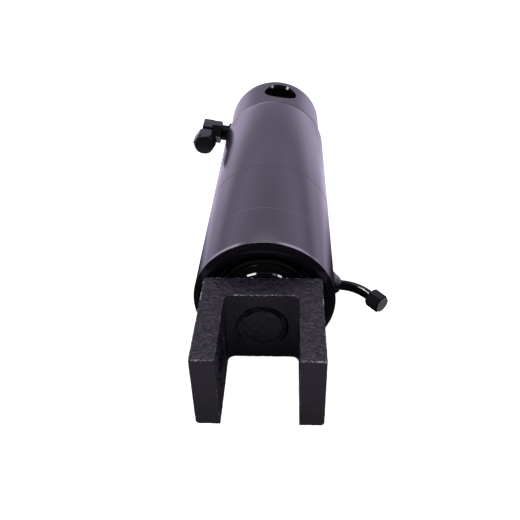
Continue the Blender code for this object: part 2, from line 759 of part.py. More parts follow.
def make_clevis(material):
    """The cast clevis: bridge, two square ears, cross hole for the pin and a socket for the rod's nose."""
    clevis = plate("clevis", clevis_outline(), CLEVIS_HEIGHT, ROD_AXIS, Matrix.Identity(4))
    clevis.data.materials.append(material)
    round_clevis_edges(clevis)

    reach = CLEVIS_WIDTH
    radius = CLEVIS_PIN_HOLE / 2
    pin_place = frame_at(TOWARDS_CLEVIS * (CLEVIS_FRONT - CLEVIS_PIN_SETBACK), RIGHT, UP)
    cut(clevis, cylinder("clevis_pin_drill", radius, -reach, reach, INNER_SIDES, ROD_AXIS, pin_place))

    outline = [
        (0, CLEVIS_SLOT + CLEVIS_BRIDGE),
        (WELD_GROOVE, CLEVIS_SLOT + CLEVIS_BRIDGE),
        (WELD_GROOVE, CLEVIS_SLOT - WELD_GROOVE_DEPTH),
        (NOSE_SOCKET, CLEVIS_SLOT - WELD_GROOVE_DEPTH),
        (NOSE_SOCKET, CLEVIS_BACK - CLEVIS_BRIDGE),
        (0, CLEVIS_BACK - CLEVIS_BRIDGE),
    ]
    cut(clevis, turned("rod_socket_drill", outline, INNER_SIDES, ROD_AXIS, None, MAIN_AXIS))
    return clevis


def make_nose_weld(material):
    """The crowned bead that fills the groove between the rod's nose and the clevis."""
    inner = NOSE_SOCKET
    outer = WELD_GROOVE - GAP
    quarter = (outer - inner) / 4
    outline = [
        (inner, CLEVIS_SLOT - NOSE_RECESS),
        (inner + quarter, CLEVIS_SLOT + WELD_CROWN),
        (outer - quarter, CLEVIS_SLOT + WELD_CROWN),
        (outer, CLEVIS_SLOT),
        (outer, CLEVIS_SLOT - WELD_GROOVE_DEPTH + GAP),
        (inner, CLEVIS_SLOT - WELD_GROOVE_DEPTH + GAP),
    ]
    return turned("nose_weld", outline, FITTING_SIDES, ROD_AXIS, material, MAIN_AXIS)


def make_rear_port_nipple(material):
    """The nipple welded in its socket in the cap's side, with the thread for the swivel nut."""
    start = CAP_RADIUS - NIPPLE_SOCKET_DEPTH + GAP
    bore = NIPPLE_BORE / 2
    thread = FITTING_THREAD / 2
    groove = thread - NIPPLE_LIP
    outline = [
        (groove, NIPPLE_FACE),
        (thread - THREAD_LEAD, NIPPLE_FACE),
        (thread, NIPPLE_FACE - THREAD_LEAD),
        (thread, NIPPLE_SHOULDER),
        (NIPPLE_OD / 2, NIPPLE_SHOULDER),
        (NIPPLE_OD / 2, start),
        (bore, start),
        (bore, NIPPLE_FACE - FITTING_SEAL),
        (groove, NIPPLE_FACE - FITTING_SEAL),
    ]
    return turned("rear_port_nipple", outline, FITTING_SIDES, REAR_PORT, material)


def make_nipple_weld(material):
    """The fillet of weld round the nipple's foot, cut to sit on the cap's curve."""
    inner = NIPPLE_OD / 2 + GAP
    outer = inner + NIPPLE_WELD_LEG
    foot = CAP_RADIUS - NIPPLE_SOCKET_DEPTH
    outline = [
        (inner, CAP_RADIUS + NIPPLE_WELD_LEG),
        (outer, CAP_RADIUS + NIPPLE_WELD_TOE),
        (outer, foot),
        (inner, foot),
    ]
    weld = turned("nipple_weld", outline, SMALL_SIDES, REAR_PORT, material)
    start = REAR_PORT_STATION - NIPPLE_OD
    end = REAR_PORT_STATION + NIPPLE_OD
    cut(weld, cylinder("cap_saddle", CAP_RADIUS + GAP, start, end, BARREL_SIDES, BARREL_AXIS, MAIN_AXIS))
    return weld


def make_swivel_nut(material):
    """The hexagon nut that draws the elbow's collar onto the nipple."""
    back = NIPPLE_SHOULDER + GAP
    front = SWIVEL_NUT_END
    nut = hexagon("elbow_swivel_nut", SWIVEL_NUT_FLATS, back, front, REAR_PORT, material, None)
    thread = FITTING_THREAD / 2 + GAP
    stub = ELBOW_STUB / 2 + GAP
    web = front - SWIVEL_NUT_WEB
    reach = front - back
    outline = [
        (0, front + reach),
        (stub, front + reach),
        (stub, web),
        (thread, web),
        (thread, back - reach),
        (0, back - reach),
    ]
    cut(nut, turned("swivel_nut_drill", outline, FITTING_SIDES, REAR_PORT))
    return nut


def make_elbow_body(material):
    """The forged elbow: a square block with a collared stub for the nut and a threaded leg for the cap."""
    shape = bmesh.new()
    bmesh.ops.create_cube(shape, size=1.0)
    mesh = bpy.data.meshes.new("elbow_body")
    size = Vector((ELBOW_BLOCK_HEIGHT, ELBOW_HEEL + ELBOW_TOE, ELBOW_BLOCK_WIDTH))
    centre = Vector((0, (ELBOW_HEEL - ELBOW_TOE) / 2, ELBOW_CENTRE))
    bmesh.ops.scale(shape, vec=size, verts=shape.verts)
    bmesh.ops.translate(shape, vec=centre, verts=shape.verts)
    shape.to_mesh(mesh)
    shape.free()
    body = new_object("elbow_body", mesh, ELBOW, material)
    bevel = body.modifiers.new("edges", "BEVEL")
    bevel.width = ELBOW_BLOCK_EDGE
    bevel.segments = 2

    collar = FITTING_THREAD / 2 - GAP
    stub = ELBOW_STUB / 2
    inside = ELBOW_CENTRE - ELBOW_BLOCK_WIDTH / 4
    outline = [
        (0, inside),
        (stub, inside),
        (stub, COLLAR_TOP),
        (collar, COLLAR_TOP),
        (collar, COLLAR_FACE),
        (0, COLLAR_FACE),
    ]
    join(body, turned("elbow_stub", outline, FITTING_SIDES, ELBOW))

    neck = ELBOW_NECK / 2
    thread = ELBOW_LEG_THREAD / 2
    outline = [
        (0, ELBOW_LEG_END),
        (thread - THREAD_LEAD, ELBOW_LEG_END),
        (thread, ELBOW_LEG_END - THREAD_LEAD),
        (thread, ELBOW_CAP_SETBACK + GAP),
        (neck, ELBOW_CAP_SETBACK - ELBOW_NECK_TAPER),
        (neck, ELBOW_TOE / 2),
        (0, ELBOW_TOE / 2),
    ]
    join(body, turned("elbow_leg", outline, FITTING_SIDES, ELBOW_LEG))

    bore = ELBOW_BORE / 2
    stub_drill = ("elbow_stub_drill", bore, COLLAR_FACE - bore, ELBOW_CENTRE)
    leg_drill = ("elbow_leg_drill", bore, -bore, ELBOW_LEG_END + bore)
    cut(body, cylinder(*stub_drill, SMALL_SIDES, ELBOW))
    cut(body, cylinder(*leg_drill, SMALL_SIDES, ELBOW_LEG, None, True))
    return body


def make_blanking_cap(material):
    """The hexagon cap nut that closes the elbow's leg. Its closed end is turned round."""
    start = ELBOW_CAP_SETBACK
    end = BLANK_FRONT
    cap = hexagon("elbow_blanking_cap", BLANK_FLATS, start, end, ELBOW_LEG, material, None)
    nose = end - BLANK_NOSE_LENGTH
    drop = (BLANK_FLATS - BLANK_NOSE_RADIUS) * math.tan(HEX_SLOPE)
    outline = [
        (0, end + GAP),
        (BLANK_NOSE_RADIUS - BLANK_NOSE_EDGE, end + GAP),
        (BLANK_NOSE_RADIUS, end - BLANK_NOSE_EDGE),
        (BLANK_NOSE_RADIUS, nose),
        (BLANK_FLATS, nose - drop),
        (BLANK_FLATS, start - GAP),
        (0, start - GAP),
    ]
    boolean(cap, as_cutter(turned("blanking_cap_nose", outline, FITTING_SIDES, ELBOW_LEG)), "INTERSECT")
    thread = ELBOW_LEG_THREAD / 2 + GAP
    drill = ("blanking_cap_drill", thread, start - BLANK_LENGTH, BLANK_FLOOR)
    cut(cap, cylinder(*drill, FITTING_SIDES, ELBOW_LEG))
    return cap


def make_fitting_seals(rubber):
    """The O-ring in the nipple's face and the washer under the blanking cap's end."""
    inner = NIPPLE_BORE / 2 + GAP
    outer = FITTING_THREAD / 2 - NIPPLE_LIP - GAP
    middle = NIPPLE_FACE - (FITTING_SEAL - GAP) / 2
    section = round_section(inner, outer, middle, FITTING_SEAL)
    turned("elbow_o_ring", section, FITTING_SIDES, REAR_PORT, rubber)
    top = BLANK_FLOOR - GAP
    outer = ELBOW_LEG_THREAD / 2 - GAP
    section = ring_section(ELBOW_BORE / 2, outer, top - FITTING_SEAL, top)
    turned("blanking_cap_seal", section, FITTING_SIDES, ELBOW_LEG, rubber)


def make_rod_port_boss(material):
    """The cone of weld round the tube where it enters the barrel, cut to sit on the barrel's curve."""
    outer = BARREL_RADIUS
    base = ROD_PORT_BOSS_OD / 2
    bore = PORT_HOLE
    top = outer + ROD_PORT_BOSS_HEIGHT
    outline = [
        (bore, top),
        (bore + ROD_PORT_BOSS_LIP, top),
        (base, outer),
        (base, outer - ROD_PORT_BOSS_HEIGHT / 2),
        (bore, outer - ROD_PORT_BOSS_HEIGHT / 2),
    ]
    boss = turned("rod_port_boss", outline, SMALL_SIDES, ROD_PORT, material)
    saddle = outer + GAP
    start = ROD_PORT_STATION - ROD_PORT_BOSS_OD
    end = ROD_PORT_STATION + ROD_PORT_BOSS_OD
    cut(boss, cylinder("barrel_saddle", saddle, start, end, BARREL_SIDES, ROD_AXIS, MAIN_AXIS, True))
    return boss


def port_tube_path():
    """The bent tube's centre line in the port's own frame: Z leaves the barrel, X runs to the clevis."""
    start = BORE_RADIUS + PORT_TUBE_ENTRY
    straight = BARREL_RADIUS + PORT_TUBE_STRAIGHT
    points = [Vector((0, 0, start))]
    for step in range(PORT_TUBE_BEND_STEPS + 1):
        angle = PORT_TUBE_BEND * step / PORT_TUBE_BEND_STEPS
        out = straight + PORT_TUBE_BEND_RADIUS * math.sin(angle)
        side = PORT_TUBE_BEND_RADIUS * (1 - math.cos(angle))
        points.append(Vector((side, 0, out)))
    heading = Vector((math.sin(PORT_TUBE_BEND), 0, math.cos(PORT_TUBE_BEND)))
    points.append(points[-1] + heading * PORT_TUBE_END)
    return points, heading


def make_rod_port_tube(material):
    points, heading = port_tube_path()
    tube = pipe("rod_port_tube", points, PORT_TUBE_OD / 2, ROD_PORT, Matrix.Identity(4))
    tube.data.materials.append(material)
    longer = [points[0] - UP * PORT_TUBE_OD] + points + [points[-1] + heading * PORT_TUBE_OD]
    bore = PORT_TUBE_OD / 2 - PORT_TUBE_WALL
    cut(tube, pipe("rod_port_tube_bore", longer, bore, ROD_PORT, Matrix.Identity(4)))
    return tube


def make_tube_nut(material):
    """The nut on the bent tube's end. Its back end is a web round the tube."""
    nut = hexagon("tube_nut", TUBE_NUT_FLATS, 0, TUBE_NUT_LENGTH, TUBE_END, material, None)
    reach = TUBE_NUT_LENGTH
    outline = [
        (0, TUBE_NUT_LENGTH + reach),
        (TUBE_NUT_BORE, TUBE_NUT_LENGTH + reach),
        (TUBE_NUT_BORE, TUBE_NUT_WEB),
        (PORT_HOLE, TUBE_NUT_WEB),
        (PORT_HOLE, -reach),
        (0, -reach),
    ]
    cut(nut, turned("tube_nut_drill", outline, SMALL_SIDES, TUBE_END))
    return nut


def make_tube_end(steel, plug_material):
    """The sleeve that the nut bears on, and the transit plug whose flange covers the nut's mouth."""
    outer = TUBE_NUT_BORE - GAP
    start = TUBE_NUT_WEB + GAP
    section = ring_section(PORT_HOLE, outer, start, start + TUBE_SLEEVE_LENGTH)
    turned("tube_sleeve", section, SMALL_SIDES, TUBE_END, steel)

    face = TUBE_NUT_LENGTH + GAP
    seat = TUBE_INSERTION + GAP
    flange = TUBE_NUT_FLATS / 2 - PLUG_FLANGE_MARGIN
    top = face + PLUG_FLANGE_LENGTH
    outline = [
        (0, top),
        (flange - PLUG_EDGE, top),
        (flange, top - PLUG_EDGE),
        (flange, face),
        (outer, face),
        (outer, seat),
        (0, seat),
    ]
    turned("tube_plug", outline, SMALL_SIDES, TUBE_END, plug_material)


clear_scene()
PARTS = new_collection("hydraulic_cylinder")
CUTTERS = new_collection("cutters")

MAIN_AXIS = frame_at(Vector((0, 0, 0)), TOWARDS_CLEVIS, RIGHT)
ROD_AXIS = new_empty("rod_axis")
BARREL_AXIS = new_empty("barrel_axis", ROD_AXIS, Matrix.Rotation(BARREL_ROLL, 4, "Y"))
REAR_PORT_FRAME = frame_at(TOWARDS_CLEVIS * REAR_PORT_STATION, LEFT, UP)
REAR_PORT = new_empty("rear_port_axis", BARREL_AXIS, REAR_PORT_FRAME)
ELBOW = new_empty("elbow_axis", REAR_PORT, Matrix.Rotation(-ELBOW_DROOP, 4, "Z"))
LEG_FRAME = frame_at(Vector((0, 0, ELBOW_CENTRE)), Vector((0, -1, 0)), Vector((1, 0, 0)))
ELBOW_LEG = new_empty("elbow_leg_axis", ELBOW, LEG_FRAME)
ROD_PORT_FRAME = frame_at(TOWARDS_CLEVIS * ROD_PORT_STATION, RIGHT, TOWARDS_CLEVIS)
ROD_PORT = new_empty("rod_port_axis", BARREL_AXIS, ROD_PORT_FRAME)
PATH_POINTS, PATH_HEADING = port_tube_path()
NUT_BACK = PATH_POINTS[-1] - PATH_HEADING * TUBE_INSERTION
TUBE_END = new_empty("tube_end_axis", ROD_PORT, frame_at(NUT_BACK, PATH_HEADING, Vector((0, 1, 0))))

BLACK_GLOSS = new_material("black_gloss_paint", (0.016, 0.015, 0.019), 0.22, 0.0)
BLACK_CAST = new_material("black_cast_paint", (0.014, 0.013, 0.016), 0.5, 0.0)
BLACK_FITTING = new_material("black_fitting_finish", (0.010, 0.010, 0.011), 0.35, 0.3)
CHROME = new_material("hard_chrome", (0.75, 0.76, 0.78), 0.08, 1.0)
STEEL = new_material("machined_steel", (0.42, 0.43, 0.45), 0.35, 1.0)
IRON = new_material("gland_iron", (0.020, 0.020, 0.022), 0.3, 0.2)
BRONZE = new_material("bronze_guide", (0.50, 0.33, 0.14), 0.35, 1.0)
RUBBER = new_material("nitrile_rubber", (0.012, 0.012, 0.012), 0.6, 0.0)
NYLON = new_material("hard_seal_plastic", (0.04, 0.05, 0.09), 0.45, 0.0)
PLUG = new_material("grey_plug", (0.16, 0.16, 0.17), 0.45, 0.0)

make_barrel_tube(BLACK_GLOSS)
make_rear_cap(BLACK_GLOSS)
make_gland_head(IRON)
make_gland_seals(RUBBER, NYLON, BRONZE)
make_retaining_ring(STEEL)
make_piston(STEEL)
make_piston_seals(RUBBER, NYLON)
make_piston_nut(STEEL)
make_piston_rod(CHROME)
make_clevis(BLACK_CAST)
make_nose_weld(BLACK_CAST)
make_rear_port_nipple(BLACK_GLOSS)
make_nipple_weld(BLACK_GLOSS)
make_swivel_nut(BLACK_FITTING)
make_elbow_body(BLACK_FITTING)
make_blanking_cap(BLACK_FITTING)
make_fitting_seals(RUBBER)
make_rod_port_boss(BLACK_GLOSS)
make_rod_port_tube(BLACK_GLOSS)
make_tube_nut(BLACK_FITTING)
make_tube_end(STEEL, PLUG)

for piece in PARTS.objects:
    if piece.type == "MESH":
        smooth(piece)
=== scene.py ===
"""Looks of a welded hydraulic cylinder with a fork end, seen from its rod end."""

import math

import bmesh
import bpy
from mathutils import Matrix, Vector
from mathutils.kdtree import KDTree


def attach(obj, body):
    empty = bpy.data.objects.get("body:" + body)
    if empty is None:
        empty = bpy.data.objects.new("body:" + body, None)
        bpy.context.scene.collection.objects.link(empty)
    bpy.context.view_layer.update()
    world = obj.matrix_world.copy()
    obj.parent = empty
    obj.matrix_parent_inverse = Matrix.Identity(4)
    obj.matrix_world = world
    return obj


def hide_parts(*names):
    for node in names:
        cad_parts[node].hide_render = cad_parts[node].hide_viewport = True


# Sizes in metres. Stations run from the cap's flat end towards the fork.
BARREL_RADIUS = 0.060
BORE_RADIUS = 0.050
MOUTH = 0.383
MOUTH_CHAMFER = (0.005, 0.004)
BORE_LEAD_IN = 0.001
BARREL_ROLL = math.radians(8.5)
SEAM = 0.0773
SEAM_CHAMFER = 0.0015
CAP_RADIUS = 0.057
CAP_LENGTH = 0.077
CAP_RIM = 0.0025
PIN_STATION = 0.0345
PIN_RADIUS = 0.020
PIN_SINK = 0.0535
PIN_FLARE = 0.6
OIL_BORE = 0.004
SPIGOT_RADIUS = 0.0497
SPIGOT_FACE = 0.091

# Stations of the faint lines round the barrel: a painted highlight ring, a darker ring, the seam with a
# painted highlight on its left, and a painted highlight along the mouth's rim
HIGHLIGHT_RING_STATION = 0.3256
DARK_LINE = 0.2444
SEAM_LINE = 0.0800
RIM_HIGHLIGHT_STATION = MOUTH - MOUTH_CHAMFER[1] - 0.0010

# The gland, the ring that holds it, and their seats
RING_FRONT = 0.375
RING_BACK = 0.372
RING_OUTER = 0.0515
RING_INNER = 0.0443
RING_MOUTH = math.radians(125.5)
RING_MOUTH_HALF = math.radians(2.2)
LUG_RADIUS = 0.0042
LUG_PITCH = 0.0465
LUG_HOLE = 0.0016
GROOVE_RADIUS = 0.0518
GLAND_SHELF = 0.3717
GLAND_FACE = 0.3767
GLAND_HUB = 0.042
GLAND_BACK = 0.3230
WIPER_SEAT = 0.0362
SEAL_SEAT = 0.0372
BUSH_SEAT = 0.0326
ROD_HOLE = 0.0304

# The rod and the fork on its nose
ROD_RADIUS = 0.030
FORK_BACK = 0.3891
FORK_SLOT = 0.4116
FORK_FRONT = 0.4821
FORK_WIDTH = 0.095
FORK_HEIGHT = 0.065
FORK_GAP = 0.058
FORK_TOP = FORK_HEIGHT / 2
SLOT_WALL = FORK_GAP / 2
FORK_FILLET = 0.006
FORK_PIN = 0.4501
NOSE_RADIUS = 0.016
WELD_GROOVE = 0.0208
WELD_FLOOR = 0.4086

FLOOR_HEIGHT = -0.060
GAP = 0.0003
MERGE = 1e-6


# Modelling, as by hand


def only(obj):
    """Selects this object alone and makes it the active one."""
    bpy.ops.object.select_all(action="DESELECT")
    obj.select_set(True)
    bpy.context.view_layer.objects.active = obj


def edit(obj, kind):
    """Opens an object for editing with nothing selected. The kind is VERT, EDGE or FACE."""
    only(obj)
    bpy.ops.object.mode_set(mode="EDIT")
    bpy.ops.mesh.select_mode(type=kind)
    bpy.ops.mesh.select_all(action="DESELECT")


def pick(obj, kind, test):
    """Selects the verts, edges or faces that pass the test."""
    shape = bmesh.from_edit_mesh(obj.data)
    for item in getattr(shape, kind):
        if test(item):
            item.select_set(True)
    bmesh.update_edit_mesh(obj.data)


def leave():
    bpy.ops.object.mode_set(mode="OBJECT")


def deselect():
    bpy.ops.object.select_all(action="DESELECT")


def named(name):
    """The new primitive, under its own name."""
    obj = bpy.context.view_layer.objects.active
    obj.name = name
    obj.data.name = name
    return obj


def apply_modifier(obj, kind, **settings):
    only(obj)
    modifier = obj.modifiers.new(kind.lower(), kind)
    for key, value in settings.items():
        setattr(modifier, key, value)
    bpy.ops.object.modifier_apply(modifier=modifier.name)


def settle(obj, place):
    """Puts the finished mesh at its place and leaves the object at the origin."""
    only(obj)
    obj.matrix_world = place
    bpy.ops.object.transform_apply(location=True, rotation=True, scale=True)
    return obj


def extrude(shift):
    bpy.ops.mesh.extrude_edges_move(TRANSFORM_OT_translate={"value": tuple(shift)})


def close_up():
    """Merges doubled vertices, turns the normals outwards and ends the editing."""
    bpy.ops.mesh.select_all(action="SELECT")
    bpy.ops.mesh.remove_doubles(threshold=MERGE)
    bpy.ops.mesh.normals_make_consistent(inside=False)
    leave()


def reshape(obj, move):
    """Moves each vertex to where the function says."""
    edit(obj, "VERT")
    bpy.ops.mesh.select_all(action="SELECT")
    shape = bmesh.from_edit_mesh(obj.data)
    for v in shape.verts:
        v.co = move(v.co)
    bmesh.update_edit_mesh(obj.data)
    leave()


def coat(obj, *paints):
    for paint in paints:
        obj.data.materials.append(paint)
    return obj


def paint_faces(obj, slot, test):
    """Gives the faces that pass the test the material in that slot."""
    edit(obj, "FACE")
    pick(obj, "faces", test)
    obj.active_material_index = slot
    bpy.ops.object.material_slot_assign()
    leave()
    return obj


def turned(name, profile, sides, solid=False, place=None):
    """A circle drawn out and scaled along a profile of (radius, height), then closed."""
    radius, height = profile[0]
    deselect()
    fill = "TRIFAN" if solid else "NOTHING"
    bpy.ops.mesh.primitive_circle_add(vertices=sides, radius=radius, fill_type=fill)
    obj = named(name)
    bpy.ops.object.mode_set(mode="EDIT")
    bpy.ops.mesh.select_mode(type="EDGE")
    bpy.ops.transform.translate(value=(0, 0, height))
    if solid:
        bpy.ops.mesh.region_to_loop()
    steps = profile[1:] if solid else profile[1:] + profile[:1]
    for next_radius, next_height in steps:
        extrude((0, 0, next_height - height))
        scale = next_radius / radius
        centre = (0, 0, next_height)
        bpy.ops.transform.resize(value=(scale, scale, 1), center_override=centre)
        radius, height = next_radius, next_height
    if solid:
        extrude((0, 0, 0))
        bpy.ops.mesh.merge(type="CENTER")
    close_up()
    return settle(obj, place) if place else obj


def round_rings(obj, corners, width, segments=3):
    """Bevels the turned rings at these (radius, height) corners, before the piece is placed."""
    near = 2e-5

    def on_corner(spot):
        across = math.hypot(spot.x, spot.y)
        return any(abs(across - r) < near and abs(spot.z - z) < near for r, z in corners)

    def on_ring(edge):
        first, last = (v.co for v in edge.verts)
        return on_corner(first) and on_corner(last) and abs(first.z - last.z) < MERGE

    edit(obj, "EDGE")
    pick(obj, "edges", on_ring)
    bpy.ops.mesh.bevel(offset=width, segments=segments, affect="EDGES")
    leave()


def carve(obj, cutter, operation="DIFFERENCE"):
    """Cuts the cutter from the object, or joins the two, and removes the cutter."""
    apply_modifier(obj, "BOOLEAN", operation=operation, object=cutter, solver="EXACT")
    bpy.data.objects.remove(cutter)
    edit(obj, "VERT")
    bpy.ops.mesh.select_all(action="SELECT")
    bpy.ops.mesh.remove_doubles(threshold=2e-6)
    bpy.ops.mesh.dissolve_degenerate(threshold=2e-6)
    leave()


def soften(obj, width, segments=3, angle=30.0):
    """Rounds every edge that is sharper than the angle."""
    limits = {"limit_method": "ANGLE", "angle_limit": math.radians(angle), "use_clamp_overlap": True}
    apply_modifier(obj, "BEVEL", width=width, segments=segments, **limits)


def shade(obj, angle=28.0):
    only(obj)
    bpy.ops.object.shade_smooth_by_angle(angle=math.radians(angle))


def round_normals(obj, radius):
    """Points the shading of a turned side straight out, also beside the holes cut in it."""
    mesh = obj.data
    near = 3e-4
    normals = [Vector(corner.vector) for corner in mesh.corner_normals]
    for face in mesh.polygons:
        spots = [mesh.vertices[index].co for index in face.vertices]
        if all(abs(math.hypot(spot.x, spot.z) - radius) < near for spot in spots):
            for loop, spot in zip(face.loop_indices, spots):
                normals[loop] = Vector((spot.x, 0, spot.z)).normalized()
    mesh.normals_split_custom_set(normals)


def hexagon(name, flats, start, end, inset=0.0004, both=True):
    """A hexagon bar with its corners turned down at the outer end, or at both ends."""
    corner = flats / math.sqrt(3)
    deselect()
    centre = (0, 0, (start + end) / 2)
    bpy.ops.mesh.primitive_cylinder_add(vertices=6, radius=corner, depth=end - start, location=centre)
    obj = named(name)
    settle(obj, obj.matrix_world.copy())
    edit(obj, "FACE")
    pick(obj, "faces", lambda face: abs(face.normal.z) < 0.5)
    bpy.ops.mesh.subdivide(number_cuts=15)
    leave()
    face = flats / 2 - inset
    over = corner + inset
    drop = (over - face) * math.tan(math.radians(30.0))
    profile = [(over, end), (over, start + drop), (face, start)]
    if both:
        profile[:1] = [(face, end), (over, end - drop)]
    carve(obj, turned("turning", profile, 128, True), "INTERSECT")
    return obj


def frame_at(origin, along, across):
    """A matrix whose Z runs along one direction and X across it."""
    z_axis = Vector(along).normalized()
    x_axis = Vector(across).normalized()
    y_axis = z_axis.cross(x_axis)
    columns = Matrix((x_axis, y_axis, z_axis)).transposed().to_4x4()
    return Matrix.Translation(Vector(origin)) @ columns


LEFT = Vector((-1, 0, 0))
RIGHT = Vector((1, 0, 0))
UP = Vector((0, 0, 1))
TO_FORK = Vector((0, -1, 0))
MAIN_AXIS = frame_at((0, 0, 0), TO_FORK, RIGHT)
BARREL_TURN = Matrix.Rotation(BARREL_ROLL, 4, "Y")

# Fitting on the cap: nipple, swivel nut, elbow and blanking cap
REAR_PORT = BARREL_TURN @ frame_at(TO_FORK * 0.0535, LEFT, UP)
ELBOW_PLACE = REAR_PORT @ Matrix.Rotation(math.radians(-1.5), 4, "Z")
ELBOW_CENTRE = 0.08535
LEG_PLACE = ELBOW_PLACE @ frame_at((0, 0, ELBOW_CENTRE), (0, -1, 0), (1, 0, 0))
NIPPLE_BOTTOM = 0.0523
NIPPLE_SHOULDER = 0.067
NIPPLE_FACE = 0.0725
NIPPLE_RADIUS = 0.0095
SWIVEL_START = 0.0673
SWIVEL_END = 0.0788
FITTING_FLATS = 0.024
BLANK_START = 0.021
BLANK_END = 0.0417

# Bent tube at the rod end
PORT_STATION = 0.3428
ROD_PORT = BARREL_TURN @ frame_at(TO_FORK * PORT_STATION, RIGHT, TO_FORK)
BOSS_BASE = 0.0115
BOSS_TOP = 0.0668
TUBE_RADIUS = 0.0045
TUBE_HOLE = 0.0048
TUBE_START = 0.0515
TUBE_STRAIGHT_END = 0.071
TUBE_BEND_RADIUS = 0.0275
TUBE_BEND = math.radians(47.0)
TUBE_TAIL = 0.0115
NUT_FLATS = 0.0145
NUT_LENGTH = 0.013
NUT_INSERTION = 0.0078


def tube_points(steps):
    """The middle of the tube's run from the barrel to its tail, and the way its tail points."""
    points = [Vector((0, 0, TUBE_START)), Vector((0, 0, BARREL_RADIUS))]
    for step in range(steps + 1):
        angle = TUBE_BEND * step / steps
        out = TUBE_STRAIGHT_END + TUBE_BEND_RADIUS * math.sin(angle)
        side = TUBE_BEND_RADIUS * (1 - math.cos(angle))
        points.append(Vector((side, 0, out)))
    heading = Vector((math.sin(TUBE_BEND), 0, math.cos(TUBE_BEND)))
    points.append(points[-1] + heading * TUBE_TAIL)
    return points, heading


TUBE_POINTS, TUBE_HEADING = tube_points(24)
NUT_PLACE = ROD_PORT @ frame_at(TUBE_POINTS[-1] - TUBE_HEADING * NUT_INSERTION, TUBE_HEADING, (0, 1, 0))


# Materials


def link(tree, source, target):
    tree.links.new(source, target)


def node(tree, kind, **settings):
    made = tree.nodes.new(kind)
    for key, value in settings.items():
        if key in made.inputs:
            made.inputs[key].default_value = value
        else:
            setattr(made, key, value)
    return made


def maths(tree, operation, first, second=None):
    made = tree.nodes.new("ShaderNodeMath")
    made.operation = operation
    for socket, value in zip(made.inputs, (first, second)):
        if isinstance(value, (int, float)):
            socket.default_value = value
        elif value is not None:
            link(tree, value, socket)
    return made.outputs[0]


def times(tree, first, second):
    return maths(tree, "MULTIPLY", first, second)


def object_point(tree):
    return tree.nodes.new("ShaderNodeTexCoord").outputs["Object"]


def axes(tree, where):
    """The X, Y and Z sockets of a position."""
    parts = tree.nodes.new("ShaderNodeSeparateXYZ")
    link(tree, where, parts.inputs[0])
    return parts.outputs


def new_group(name, inputs, outputs):
    """A shader node group with named float inputs and float outputs."""
    tree = bpy.data.node_groups.new(name, "ShaderNodeTree")
    for label, default in inputs:
        socket = tree.interface.new_socket(label, in_out="INPUT", socket_type="NodeSocketFloat")
        socket.default_value = default
    for label in outputs:
        tree.interface.new_socket(label, in_out="OUTPUT", socket_type="NodeSocketFloat")
    entry = tree.nodes.new("NodeGroupInput")
    leaving = tree.nodes.new("NodeGroupOutput")
    return tree, entry, leaving


def noise(tree, where, scale, detail):
    made = node(tree, "ShaderNodeTexNoise", Detail=detail)
    link(tree, where, made.inputs["Vector"])
    if isinstance(scale, (int, float)):
        made.inputs["Scale"].default_value = scale
    else:
        link(tree, scale, made.inputs["Scale"])
    return made.outputs["Fac"]


def patches(tree, where, scale, detail, *limits):
    """Noise spread between limits, for what comes in patches."""
    return spread(tree, noise(tree, where, scale, detail), *limits)


def spread(tree, value, low, high, to_low=0.0, to_high=1.0):
    made = tree.nodes.new("ShaderNodeMapRange")
    link(tree, value, made.inputs["Value"])
    for label, number in (
        ("From Min", low),
        ("From Max", high),
        ("To Min", to_low),
        ("To Max", to_high),
    ):
        made.inputs[label].default_value = number
    return made.outputs["Result"]


def make_sprayed_film():
    """Orange peel, faint clouds and dust nibs of a sprayed coat."""
    inputs = [("Peel Scale", 600.0), ("Nibs", 0.0)]
    tree, entry, leaving = new_group("sprayed_film", inputs, ["Height", "Cloud"])
    where = object_point(tree)
    peel = noise(tree, where, entry.outputs["Peel Scale"], 2.0)
    cloud = noise(tree, where, 24.0, 4.0)
    specks = tree.nodes.new("ShaderNodeTexVoronoi")
    specks.inputs["Scale"].default_value = 420.0
    link(tree, where, specks.inputs["Vector"])
    nib = spread(tree, specks.outputs["Distance"], 0.10, 0.04)
    sparse = patches(tree, where, 60.0, 2.0, 0.55, 0.65)
    nib = times(tree, times(tree, nib, sparse), entry.outputs["Nibs"])
    link(tree, maths(tree, "ADD", peel, nib), leaving.inputs["Height"])
    link(tree, cloud, leaving.inputs["Cloud"])
    return tree


def make_worn_edges():
    """A mask of the edges where the coat has worn thin, broken up by grain."""
    inputs = [("Sharpness", 0.56), ("Grain Scale", 700.0)]
    tree, entry, leaving = new_group("worn_edges", inputs, ["Wear"])
    where = object_point(tree)
    pointed = tree.nodes.new("ShaderNodeNewGeometry").outputs["Pointiness"]
    over = maths(tree, "SUBTRACT", pointed, entry.outputs["Sharpness"])
    edge = times(tree, over, 14.0)
    grain = spread(tree, noise(tree, where, entry.outputs["Grain Scale"], 3.0), 0.40, 0.62)
    wear = times(tree, edge, grain)
    clamp = tree.nodes.new("ShaderNodeClamp")
    link(tree, wear, clamp.inputs["Value"])
    link(tree, clamp.outputs[0], leaving.inputs["Wear"])
    return tree


def make_cast_grain():
    """The pebbled skin of a casting under paint: soft lumps with fine pits between them, and a mask of
    the low spots for painted shade.
    """
    inputs = [("Lump Scale", 520.0), ("Pit Depth", 0.5)]
    tree, entry, leaving = new_group("cast_grain", inputs, ["Height", "Hollow"])
    where = object_point(tree)
    lumps = noise(tree, where, entry.outputs["Lump Scale"], 2.0)
    pits = tree.nodes.new("ShaderNodeTexVoronoi")
    pits.feature = "SMOOTH_F1"
    link(tree, where, pits.inputs["Vector"])
    link(tree, times(tree, entry.outputs["Lump Scale"], 1.3), pits.inputs["Scale"])
    pit = spread(tree, pits.outputs["Distance"], 0.05, 0.45)
    deep = times(tree, pit, entry.outputs["Pit Depth"])
    link(tree, maths(tree, "ADD", lumps, deep), leaving.inputs["Height"])
    link(tree, spread(tree, lumps, 0.56, 0.40), leaving.inputs["Hollow"])
    return tree


